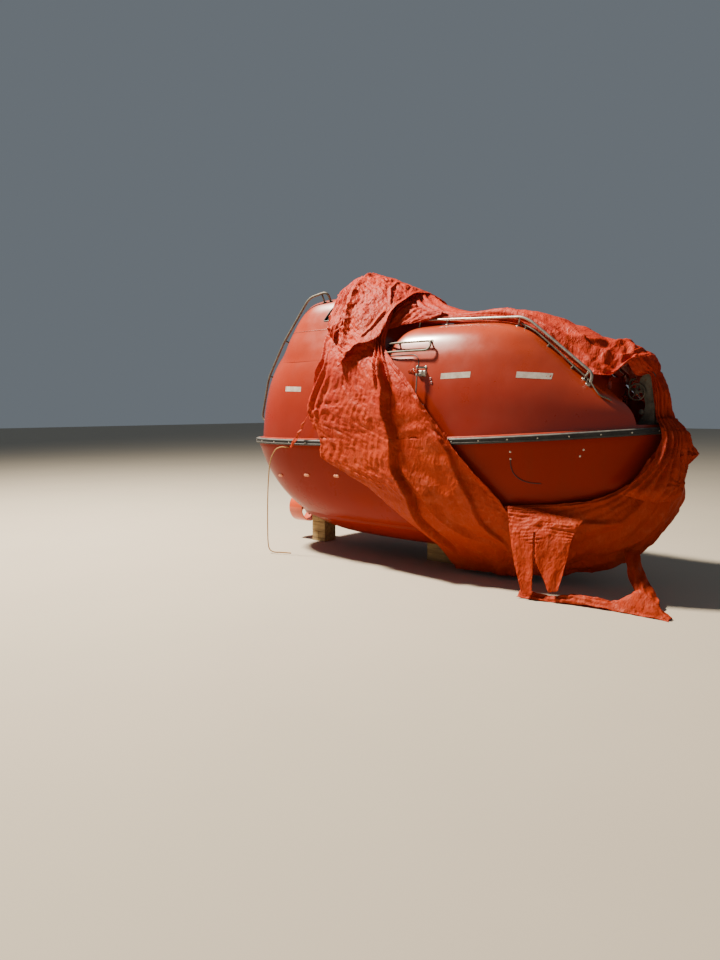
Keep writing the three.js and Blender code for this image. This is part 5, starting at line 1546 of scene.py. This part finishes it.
FOLDED_FLAP = (
    ((1280, -860, 830), (1610, -770, 790), (1980, -700, 735)),
    ((1370, -935, 560), (1620, -900, 560), (1920, -800, 560)),
    ((1450, -990, 300), (1660, -960, 300), (1905, -880, 350)),
    ((1560, -1040, 40), (1710, -1020, 50), (1870, -970, 90)),
)
GROUND_STRIP = (
    ((1500, -1080, 20), (1530, -1000, 60), (1560, -930, 20)),
    ((1800, -1050, 20), (1820, -990, 75), (1840, -920, 20)),
    ((2080, -990, 20), (2100, -930, 85), (2120, -860, 20)),
    ((2370, -970, 20), (2370, -890, 100), (2380, -820, 20)),
    ((2620, -970, 20), (2590, -860, 190), (2570, -760, 40)),
    ((2850, -980, 10), (2850, -930, 20), (2850, -880, 10)),
)
HANGING_STRIP = (
    ((2170, -180, 480), (2230, -160, 470), (2310, -120, 480)),
    ((2290, -410, 270), (2350, -390, 310), (2410, -340, 300)),
    ((2470, -640, 80), (2540, -620, 130), (2620, -570, 100)),
    ((2580, -790, 20), (2650, -770, 50), (2720, -740, 20)),
)
VALLEY_DRAPE = (
    ((-330, -400, 3020), (-50, -420, 2880), (260, -430, 2820)),
    ((-320, -560, 2880), (-90, -540, 2800), (180, -500, 2765)),
    ((-330, -760, 2620), (-150, -680, 2680), (60, -570, 2715)),
)
TIED_PLEATS = (
    ((2420, -110, 1660), (2460, -70, 1660), (2500, -10, 1660), (2520, 60, 1660)),
    ((2470, -190, 1470), (2540, -130, 1460), (2590, -40, 1460), (2620, 60, 1460)),
    ((2390, -330, 1220), (2500, -230, 1190), (2570, -90, 1190), (2590, 50, 1180)),
    ((2200, -450, 980), (2390, -340, 930), (2520, -160, 910), (2570, 30, 920)),
)
BOW_WING = (
    ((2480, -30, 1690), (2510, 10, 1690), (2540, 50, 1690)),
    ((2540, -50, 1560), (2590, 20, 1565), (2625, 70, 1560)),
    ((2570, -60, 1430), (2640, 10, 1440), (2690, 70, 1450)),
    ((2575, -60, 1300), (2660, 10, 1330), (2750, 60, 1345)),
    ((2560, -50, 1160), (2600, 10, 1180), (2650, 50, 1230)),
)
TORN_STRIP = (
    ((-1180, -1085, 1760), (-1130, -1095, 1760)),
    ((-1250, -1105, 1600), (-1215, -1110, 1590)),
    ((-1360, -1118, 1440), (-1310, -1120, 1430)),
    ((-1440, -1130, 1330), (-1420, -1130, 1310)),
)


def smooth(value, low, high):
    share = np.clip((value - low) / (high - low), 0, 1)
    return share * share * (3 - 2 * share)


def facets(x, y, size, seed):
    """Heights of a crumpled sheet: random at the corners of a triangle lattice, straight between."""
    lattice = 128
    rng = np.random.default_rng(seed)
    table = rng.uniform(-1, 1, (lattice, lattice))
    turn = rng.uniform(0, math.pi)
    a = (x * math.cos(turn) - y * math.sin(turn)) / size + 31.3
    b = (x * math.sin(turn) + y * math.cos(turn)) / size + 17.7
    a = a + 0.45 * np.sin(b * 1.3 + seed)
    b = b + 0.45 * np.sin(a * 1.1 + seed * 2)
    i, j = np.floor(a).astype(int), np.floor(b).astype(int)
    fa, fb = a - i, b - j

    def pick(di, dj):
        return table[(i + di) % lattice, (j + dj) % lattice]
    lower = pick(0, 0) + fa * (pick(1, 0) - pick(0, 0)) + fb * (pick(1, 1) - pick(1, 0))
    upper = pick(0, 0) + fb * (pick(0, 1) - pick(0, 0)) + fa * (pick(1, 1) - pick(0, 1))
    return np.where(fa > fb, lower, upper)


def jagged(share, depth, size, seed):
    """A torn edge: how far it wanders along its length."""
    rng = np.random.default_rng(seed)
    knots = np.linspace(0, 1, max(3, round(1 / size)))
    return np.interp(share, knots, rng.uniform(-1, 1, len(knots))) * depth


DENSE_ROWS, DENSE_COLUMNS = 241, 121


def bound_at(edge, shares):
    """An edge of a sheet at some shares: one number, or pairs of (share, bound)."""
    return np.interp(shares, *zip(*edge)) if isinstance(edge, tuple) else np.full(len(shares), edge)


class Cloth:
    """A sheet of the cover on a grid, crumpled and folded along lines given as (down, across) shares."""

    def __init__(self, grid, spacing, seed, left=0.0, right=1.0, top=0.0, end=1.0, tear=(0.012, 0.02)):
        metres = np.array(grid) / 1000
        across = catmull(metres.swapaxes(0, 1), np.linspace(0, 1, DENSE_COLUMNS))
        self.dense = catmull(across.swapaxes(0, 1), np.linspace(0, 1, DENSE_ROWS))
        self.long = np.linalg.norm(np.diff(self.dense, axis=0), axis=-1).sum(axis=0).max()
        self.wide = np.linalg.norm(np.diff(self.dense, axis=1), axis=-1).sum(axis=1).mean()
        self.seed = seed
        last = max(b for _, b in end) if isinstance(end, tuple) else end
        rows = int(self.long * (last - top) / spacing) + 2
        columns = int(self.wide * 1.1 / spacing) + 2
        down, share = np.linspace(0, 1, rows), np.linspace(0, 1, columns)
        depth, size = tear
        shares = np.linspace(top, last, rows)
        left, right = (bound_at(edge, shares) + jagged(down, depth / self.wide, size, seed * 7 + k)
                       for k, edge in enumerate((left, right)))
        self.u = left[:, None] + (right - left)[:, None] * share
        top, end = (bound_at(edge, self.u[-k]) + jagged(share, depth / self.long, size * 2, seed * 11 + k)
                    for k, edge in enumerate((top, end)))
        self.v = top + (end - top) * down[:, None]
        self.across, self.down = self.u * self.wide, self.v * self.long
        self.height = np.zeros_like(self.v)
        self.keep = np.ones_like(self.v, bool)
        self.moves = []

    def crumple(self, sizes, share=1.0):
        for k, (size, depth) in enumerate(sizes):
            self.seed += 1
            self.height += share * depth * facets(self.across, self.down, size, self.seed * 10 + k)

    def crinkle(self, size, stretch, angle, depth, share=1.0):
        """Short wrinkles: facets drawn out along one direction, at two sizes."""
        t = math.radians(angle)
        along = (self.across * math.cos(t) + self.down * math.sin(t)) / stretch
        over = self.down * math.cos(t) - self.across * math.sin(t)
        bend = 0.25 * size * stretch * facets(along, over, size * 4, self.seed + 7)
        for k, part in ((1.0, 1.0), (0.5, 0.5)):
            self.seed += 1
            self.height += share * depth * part * facets(along, over + bend, size * k, self.seed * 3)

    def waves(self, angle, length, depth, share=1.0, wander=0.35, sharp=0.6):
        """Wrinkles that run at an angle to the sheet's width, some sharp and some soft."""
        self.seed += 1
        t = math.radians(angle)
        across = self.across * math.sin(t) + self.down * math.cos(t)
        along = self.across * math.cos(t) - self.down * math.sin(t)
        bend = facets(along, across, length * 5, self.seed) * wander * length * 2
        bend += facets(along * 0.6, across, length * 1.7, self.seed + 50) * wander * length
        phase = (across + bend) / length
        wave = np.abs((phase % 1.0) * 2 - 1) * 2 - 1
        wave = sharp * wave + (1 - sharp) * np.cos(2 * math.pi * phase)
        patchy = 0.55 + 0.45 * facets(along, across, length * 3, self.seed + 90)
        self.height += share * depth * wave * patchy

    def off(self, line, taper):
        """Signed distance in metres from a line, plus on its right, and a fade to nothing at its ends."""
        best = np.full(self.v.shape, 1e9)
        side = np.ones(self.v.shape)
        reach = np.zeros(self.v.shape)
        points = [(u * self.wide, v * self.long) for v, u in line]
        for k, ((x0, y0), (x1, y1)) in enumerate(zip(points, points[1:])):
            dx, dy = x1 - x0, y1 - y0
            t = np.clip(((self.across - x0) * dx + (self.down - y0) * dy) / (dx * dx + dy * dy), 0, 1)
            ox, oy = self.across - x0 - t * dx, self.down - y0 - t * dy
            distance = np.hypot(ox, oy)
            nearer = distance < best
            best = np.where(nearer, distance, best)
            side = np.where(nearer, np.sign(ox * dy - oy * dx), side)
            reach = np.where(nearer, (k + t) / (len(points) - 1), reach)
        return best * side, smooth(reach, -0.01, taper) * (1 - smooth(reach, 1 - taper, 1.01))

    def ridge(self, line, height, left, right, taper=0.15):
        """A fold whose flanks have their own widths in metres."""
        distance, fade = self.off(line, taper)
        width = np.where(distance < 0, left, right)
        self.height += height * fade * np.maximum(1 - np.abs(distance) / width, 0) ** 1.3

    def step(self, line, height, reach_left, fall, taper=0.12):
        """A layer that lies over the next one: high on the left of the line and low on its right."""
        distance, fade = self.off(line, taper)
        over = smooth(-distance, -fall, fall) * np.exp(-np.maximum(-distance, 0) / reach_left)
        self.height += height * fade * over

    def gather(self, at, width, keep, pleats, depth):
        """Ties the sheet in to a narrow neck, with pleats that spread from it."""
        near = np.exp(-((self.down - at * self.long) / width) ** 2)
        wide = np.exp(-np.abs(self.down - at * self.long) / (3.5 * width))
        share = self.u - self.u.mean(axis=1, keepdims=True)
        self.height += depth * wide * np.cos(2 * math.pi * pleats * share)
        self.moves.append(1 - (1 - keep) * near)

    def surface(self):
        rows, columns = self.dense.shape[:2]
        y, x = self.v * (rows - 1), self.u * (columns - 1)
        i = np.clip(np.floor(y).astype(int), 0, rows - 2)
        j = np.clip(np.floor(x).astype(int), 0, columns - 2)
        fy, fx = (y - i)[..., None], (x - j)[..., None]
        low = self.dense[i, j] * (1 - fx) + self.dense[i, j + 1] * fx
        high = self.dense[i + 1, j] * (1 - fx) + self.dense[i + 1, j + 1] * fx
        points = low * (1 - fy) + high * fy
        for keep in self.moves:
            middle = points.mean(axis=1, keepdims=True)
            points = middle + (points - middle) * keep[..., None]
        return points

    def points(self, clear):
        flat = self.surface()
        normal = np.cross(np.gradient(flat, axis=0), np.gradient(flat, axis=1))
        normal /= np.maximum(np.linalg.norm(normal, axis=-1, keepdims=True), 1e-9)
        if np.sum(normal * (flat - BOAT_MIDDLE), axis=-1).mean() < 0:
            normal = -normal
        moved = flat + normal * self.height[..., None]
        for p in moved.reshape(-1, 3):
            push_out(p, clear)
        return moved

    def object(self, name, held, rests, replaces=(), clear=0.010, lift=0.0):
        """Makes the sheet: raised by lift, and nowhere nearer to the boat than clear."""
        self.height += lift
        points = self.points(clear)
        rows, columns = self.v.shape
        faces = []
        for j in range(rows - 1):
            for i in range(columns - 1):
                if self.keep[j:j + 2, i:i + 2].all():
                    a = j * columns + i
                    faces.append((a, a + 1, a + columns + 1, a + columns))
        obj = without_loose_points(Shape().add(points.reshape(-1, 3), faces).object(name))
        made = obj.modifiers.new("thickness", "SOLIDIFY")
        made.thickness = COVER_THICK
        made.offset = 0
        bake(obj)
        obj.data.materials.clear()
        obj.data.materials.append(FINISHES["cloth"].material)
        obj.data.shade_smooth()
        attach(obj, "boat")
        if replaces:
            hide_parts(*replaces)
        return obj


def push_out(place, clear):
    """Moves a point of the cover out of the boat and off the ground."""
    sheer = SHEER_Z + sheer_rise(place[0])
    half, deepest = FENDER["half"], 0.25
    clear += FENDER["depth"] * float(1 - smooth(abs(place[2] - sheer), half + 0.015, half + 0.06))
    forms = ((HULL_TREE, -FAR, sheer), (CANOPY_TREE, sheer, FAR), (TOWER_TREE, TOWER_FORM[1][0], FAR))
    for tree, low, high in forms:
        if low < place[2] < high:
            point = Vector(place)
            near, normal, _, distance = tree.find_nearest(point)
            if distance < clear or (distance < deepest and (point - near).dot(normal) < 0):
                place[:] = near + normal * clear
    place[1] = max(place[1], -FURTHEST_OUT)
    place[2] = max(place[2], COVER_THICK)


# Lines on the tower cover, as (down, across) shares
MAIN_FOLD = ((0.44, 0.93), (0.50, 0.84), (0.56, 0.75), (0.63, 0.70), (0.69, 0.62), (0.76, 0.53), (0.84, 0.37),
             (0.90, 0.25), (0.97, 0.20))
SECOND_FOLD = ((0.62, 0.97), (0.70, 0.93), (0.78, 0.84), (0.87, 0.76), (0.96, 0.70))
THIRD_FOLD = ((0.70, 0.66), (0.77, 0.58), (0.84, 0.50), (0.90, 0.52), (0.95, 0.70))
LEFT_EDGE = ((0.0, 0.0), (0.26, 0.05), (0.36, 0.17), (0.46, 0.12), (0.55, 0.06), (0.60, 0.08), (0.67, 0.10),
             (0.72, 0.03), (0.75, 0.10), (0.80, 0.13), (0.90, 0.08), (1.0, 0.1))
RIGHT_EDGE = ((0.0, 1.0), (0.30, 1.03), (0.38, 1.10), (0.47, 1.07), (0.60, 1.04), (0.70, 1.01), (0.82, 1.02),
              (1.0, 1.0))


def main_cover():
    cloth = Cloth(TOWER_COVER, 0.0128, 1, LEFT_EDGE, RIGHT_EDGE, tear=(0.010, 0.012))
    v, u = cloth.v, cloth.u
    fold = np.interp(v, *zip(*MAIN_FOLD))
    left = 1 - smooth(u, fold - 0.03, fold + 0.03)
    right = 1 - left
    high = 1 - smooth(v, 0.40, 0.47)
    low = smooth(v, 0.60, 0.80)
    wrinkled = left * smooth(v + 0.22 * (u - 0.4), 0.47, 0.52) * (1 - 0.75 * smooth(v, 0.74, 0.84))
    edge = 1 - smooth(u, 0.14, 0.34)
    cloth.crumple(((0.30, 0.014), (0.13, 0.010), (0.06, 0.006), (0.03, 0.0035)), high)
    cloth.crumple(((0.40, 0.020), (0.17, 0.009)), 1 - high)
    cloth.crumple(((0.08, 0.0035), (0.04, 0.0022)), (1 - high) * (0.4 + 0.6 * left))
    cloth.crinkle(0.045, 2.4, 78, 0.0055, wrinkled)
    cloth.crinkle(0.050, 1.6, 15, 0.0025, wrinkled)
    cloth.waves(70, 0.062, 0.0065, wrinkled, 0.35, 0.9)
    cloth.crinkle(0.045, 4.0, 84, 0.0050, right * (1 - high) * (1 - 0.6 * low))
    cloth.waves(72, 0.20, 0.016, right * smooth(v, 0.45, 0.6), 0.25, 0.45)
    cloth.waves(80, 0.085, 0.030, edge * smooth(v, 0.20, 0.30) * (1 - smooth(v, 0.64, 0.74)), 0.25, 0.8)
    cloth.step(MAIN_FOLD, 0.085, 0.16, 0.007)
    cloth.ridge([(a, b + 0.014) for a, b in MAIN_FOLD], -0.035, 0.012, 0.035)
    cloth.ridge(SECOND_FOLD, 0.045, 0.09, 0.025)
    cloth.ridge(THIRD_FOLD, 0.036, 0.025, 0.10)
    for shift in (0.0, 0.05, 0.10):
        line = [(a, b + shift) for a, b in ((0.35, 0.90), (0.42, 0.86), (0.48, 0.80), (0.54, 0.71))]
        cloth.ridge(line, 0.055, 0.020, 0.016, 0.2)
    hem = np.exp(-((u - 1.0) * cloth.wide / 0.025) ** 2) * smooth(v, 0.45, 0.5)
    cloth.height += 0.014 * hem
    cloth.crumple(((0.05, 0.007), (0.026, 0.003)), smooth(u, 0.90, 0.98) * smooth(v, 0.45, 0.5))
    cloth.object("cover_over_tower", "draped", ["steering_tower", "canopy", "hull"], ("cover_tower",),
                 lift=0.002)


def upper_flap():
    """The layer folded back over the tower, hanging down to one corner."""
    left = ((0.0, 0.30), (0.14, 0.34), (0.25, 0.36), (0.35, 0.37), (0.49, 0.40))
    end = ((0.30, 0.475), (0.42, 0.482), (0.47, 0.470), (0.53, 0.455), (0.60, 0.435), (0.66, 0.420),
           (0.72, 0.420), (0.82, 0.408), (0.92, 0.398), (1.0, 0.380), (1.10, 0.360))
    cloth = Cloth(TOWER_COVER, 0.0100, 31, left, 1.07, 0.15, end, tear=(0.006, 0.03))
    v, u = cloth.v, cloth.u
    bright = 1 - smooth(u - 1.6 * (0.34 - v), 0.66, 0.86)
    cloth.crumple(((0.34, 0.024), (0.15, 0.009)))
    cloth.crumple(((0.075, 0.0070),), 0.35 + 0.65 * bright)
    cloth.crinkle(0.050, 1.7, 35, 0.0110, 0.25 + 0.75 * bright)
    cloth.crinkle(0.040, 2.2, -40, 0.0060, bright)
    cloth.ridge(((0.16, 0.40), (0.30, 0.45), (0.47, 0.43)), 0.035, 0.025, 0.07)
    cloth.ridge(((0.20, 0.74), (0.26, 0.80), (0.31, 0.95)), 0.022, 0.05, 0.03)
    cloth.ridge(((0.33, 0.95), (0.37, 0.80), (0.40, 0.66)), 0.022, 0.04, 0.02)
    flare = smooth(v, np.interp(u, *zip(*end)) - 0.05, np.interp(u, *zip(*end)))
    cloth.height += 0.020 + 0.060 * flare * smooth(v, 0.25, 0.35)
    cloth.height *= smooth(v, 0.13, 0.22)
    cloth.object("cover_upper_flap", "folded", ["cover_over_tower"], clear=0.026, lift=0.012)


def side_tongue():
    """A narrow layer on the aft side of the flap."""
    left = ((0.0, 0.05), (0.26, 0.06), (0.36, 0.16), (0.44, 0.17))
    end = ((0.0, 0.350), (0.16, 0.360), (0.22, 0.385), (0.30, 0.412), (0.34, 0.385), (0.44, 0.35))
    cloth = Cloth(TOWER_COVER, 0.0110, 57, left, 0.40, 0.16, end, tear=(0.006, 0.03))
    v = cloth.v
    cloth.crumple(((0.20, 0.012), (0.07, 0.007), (0.035, 0.004)))
    cloth.waves(86, 0.085, 0.026, smooth(v, 0.2, 0.28), 0.2, 0.8)
    cloth.height += 0.015 + 0.030 * smooth(v, 0.30, 0.38)
    cloth.height *= smooth(v, 0.15, 0.24)
    cloth.object("cover_side_tongue", "folded", ["cover_over_tower"], clear=0.019, lift=0.006)


def ridge_cover():
    left = ((0.0, 0.02), (0.10, -0.02), (0.25, 0.0), (1.0, 0.0))
    right = ((0.0, 1.0), (0.46, 1.0), (0.52, 1.22), (0.68, 1.22), (0.73, 1.0), (1.0, 1.0))
    cloth = Cloth(RIDGE_COVER, 0.0112, 83, left, right, tear=(0.014, 0.012))
    v, u = cloth.v, cloth.u
    slope = smooth(v, 0.26, 0.36)
    nose = smooth(v, 0.60, 0.66)
    side = 1 - smooth(u, 0.35, 0.6)
    cloth.crumple(((0.34, 0.016), (0.15, 0.008), (0.07, 0.004)), 1 - 0.4 * slope)
    smoother = 1 - 0.6 * smooth(v, 0.46, 0.54)
    cloth.crumple(((0.24, 0.020), (0.11, 0.014), (0.055, 0.007), (0.03, 0.003)), slope * smoother)
    cloth.waves(84, 0.10, 0.020, side * (1 - slope), 0.2, 0.8)
    cloth.waves(80, 0.16, 0.022, (1 - smooth(u, 0.5, 0.8)) * slope * (1 - smooth(v, 0.44, 0.52)), 0.25, 1.0)
    cloth.waves(87, 0.045, 0.007, side * (1 - slope), 0.25, 0.7)
    cloth.waves(55, 0.12, 0.010, slope * (1 - smooth(v, 0.46, 0.54)), 0.4, 0.8)
    for start, end in ((0.34, 0.10), (0.44, 0.16), (0.54, 0.24)):
        cloth.ridge(((0.0, start), (0.12, (start + end) / 2), (0.30, end)), 0.032, 0.045, 0.025)
    cloth.ridge(((0.30, 0.45), (0.38, 0.32), (0.46, 0.36), (0.52, 0.50)), 0.045, 0.09, 0.022)
    cloth.ridge(((0.33, 0.24), (0.42, 0.45), (0.47, 0.75)), 0.034, 0.05, 0.03)
    cloth.ridge(((0.66, 0.30), (0.58, 0.28), (0.50, 0.34)), 0.022, 0.03, 0.03)
    cloth.waves(80, 0.10, 0.020, nose, 0.3, 0.8)
    cloth.gather(0.865, 0.05, 0.85, 6, 0.014)
    cloth.object("cover_along_roof", "draped", ["canopy", "bow_hook_post"], ("cover_ridge",), lift=0.004)


def sling():
    cloth = Cloth(BOW_SLING, 0.0125, 121, -0.01, 1.0, tear=(0.010, 0.02))
    u = cloth.u
    cloth.crumple(((0.42, 0.026), (0.18, 0.012)))
    cloth.crumple(((0.09, 0.006), (0.045, 0.003)), 0.25 + 0.75 * smooth(u, 0.40, 0.75))
    cloth.waves(60, 0.18, 0.018, smooth(u, 0.1, 0.3), 0.35, 0.7)
    cloth.waves(78, 0.07, 0.007, 1 - smooth(u, 0.12, 0.35), 0.3)
    cloth.ridge(((0.10, 0.20), (0.36, 0.30), (0.60, 0.16), (0.75, 0.05)), 0.040, 0.04, 0.09)
    cloth.ridge(((0.20, 0.62), (0.45, 0.58), (0.70, 0.36)), 0.036, 0.09, 0.03)
    cloth.ridge(((0.05, 0.85), (0.30, 0.72), (0.52, 0.80)), 0.030, 0.05, 0.05)
    cloth.ridge(((0.0, 0.03), (0.4, 0.045), (0.74, 0.02)), 0.018, 0.02, 0.03)
    cloth.object("cover_sling_bow", "hung", ["hull"], ("cover_sling",), lift=0.004)


def tied_pleats():
    cloth = Cloth(TIED_PLEATS, 0.0100, 151, tear=(0.014, 0.05))
    v, u = cloth.v, cloth.u
    spread = smooth(v, 0.0, 0.35)
    bent = u + 0.03 * np.sin(v * 7 + u * 9)
    pleat = np.abs((bent * 7.0 % 1.0) * 2 - 1)
    small = np.abs((bent * 15.0 % 1.0) * 2 - 1)
    cloth.height += (0.016 + 0.040 * spread) * pleat + 0.014 * small
    cloth.crumple(((0.14, 0.012), (0.06, 0.006), (0.03, 0.003)), 0.3 + 0.7 * spread)
    sides = 0.25 + 0.75 * smooth(u, 0, 0.1) * (1 - smooth(u, 0.9, 1))
    cloth.height *= (1 - 0.7 * smooth(v, 0.85, 1.0)) * sides
    beside, below = cloth.across - 0.66 * cloth.wide, cloth.down - 0.78 * cloth.long
    knot, turn = np.hypot(beside, below), np.arctan2(below, beside)
    cloth.height += 0.016 * np.exp(-(knot / 0.07) ** 2) * np.cos(7 * turn)
    cloth.object("cover_tied_pleats", "gathered", ["hull", "fender"], clear=0.020, lift=0.030)


def folded_flap():
    cloth = Cloth(FOLDED_FLAP, 0.0090, 171, tear=(0.005, 0.04))
    v, u = cloth.v, cloth.u
    notch = 0.47 - 0.04 * (v - 0.30)
    wide = 0.008 + 0.30 * np.maximum(v - 0.66, 0)
    cloth.keep &= ~((v > 0.30) & (u > notch - wide) & (u < notch + 0.010 + 0.75 * np.maximum(v - 0.62, 0)))
    cloth.keep &= ~((v > 0.985) & (u > 0.5))
    upper = 1 - smooth(v + 0.05 * np.sin(u * 11), 0.32, 0.40)
    cloth.waves(6, 0.034, 0.0080, upper, 0.30, 0.9)
    cloth.crinkle(0.034, 2.6, -6, 0.0080, upper)
    cloth.crumple(((0.20, 0.012), (0.06, 0.004), (0.03, 0.0025)), 0.35 + 0.65 * upper)
    cloth.waves(84, 0.16, 0.008, 1 - upper, 0.3, 0.5)
    cloth.crumple(((0.035, 0.005),), 1 - smooth(u, 0.06, 0.14))
    cloth.height += 0.03 * smooth(v, 0.0, 0.2)
    cloth.object("cover_folded_flap", "folded", ["cover_sling_bow"], clear=0.024, lift=0.026)


# Columns: grid, seed, start, crumples, how it is held, what it rests on.
STRIPS = {
    "cover_strip_ground": (GROUND_STRIP, 181, 0.0, ((0.16, 0.026), (0.07, 0.012), (0.03, 0.004)),
                           "laid", "hull"),
    "cover_strip_hanging": (HANGING_STRIP, 191, 0.12, ((0.18, 0.016), (0.08, 0.008), (0.035, 0.003)),
                            "hung", "hull"),
    "cover_valley_drape": (VALLEY_DRAPE, 201, 0.0, ((0.12, 0.014), (0.06, 0.008), (0.03, 0.004)),
                           "draped", "canopy"),
    "cover_torn_strip": (TORN_STRIP, 211, 0.0, ((0.06, 0.010), (0.03, 0.004)), "hung", "fender"),
    "cover_bow_wing": (BOW_WING, 221, 0.0, ((0.12, 0.014), (0.06, 0.007), (0.03, 0.003)), "hung", "hull"),
}


def strips():
    for name, (grid, seed, start, crumples, held, rests) in STRIPS.items():
        cloth = Cloth(grid, 0.0090, seed, top=start, tear=(0.012, 0.06))
        cloth.crumple(crumples)
        cloth.waves(74, 0.07, 0.012, 1.0, 0.4, 0.8)
        cloth.object(name, held, [rests], lift=0.004)


main_cover()
upper_flap()
side_tongue()
ridge_cover()
sling()
tied_pleats()
folded_flap()
strips()


# Floor and light
def make_stage():
    size = 60
    corners = [(-size, -size, 0), (size, -size, 0), (size, size, 0), (-size, size, 0)]
    floor = Shape().add(corners, [(0, 1, 2, 3)]).object("floor")
    look = Finish("floor_paint", "liner")
    colour = look.mix(look.noise(0.6, 4), (0.48, 0.42, 0.33, 1), (0.43, 0.375, 0.30, 1))
    look.finish(Base_Color=colour, Roughness=0.9)
    floor.data.materials.append(look.material)
    world = bpy.data.worlds.new("studio")
    world.use_nodes = True
    sky = world.node_tree.nodes["Background"].inputs
    sky["Color"].default_value = (0.74, 0.85, 0.96, 1)
    sky["Strength"].default_value = 0.19
    bpy.context.scene.world = world
    sun = bpy.data.lights.new("key", "AREA")
    sun.size = 1.2
    sun.energy = 8800
    sun.color = (1.0, 0.90, 0.74)
    place, aim = Vector((-7.1, -3.4, 12.6)), Vector((0.3, 0.0, 1.4))
    placed("key", sun, place, aim - place)


make_stage()
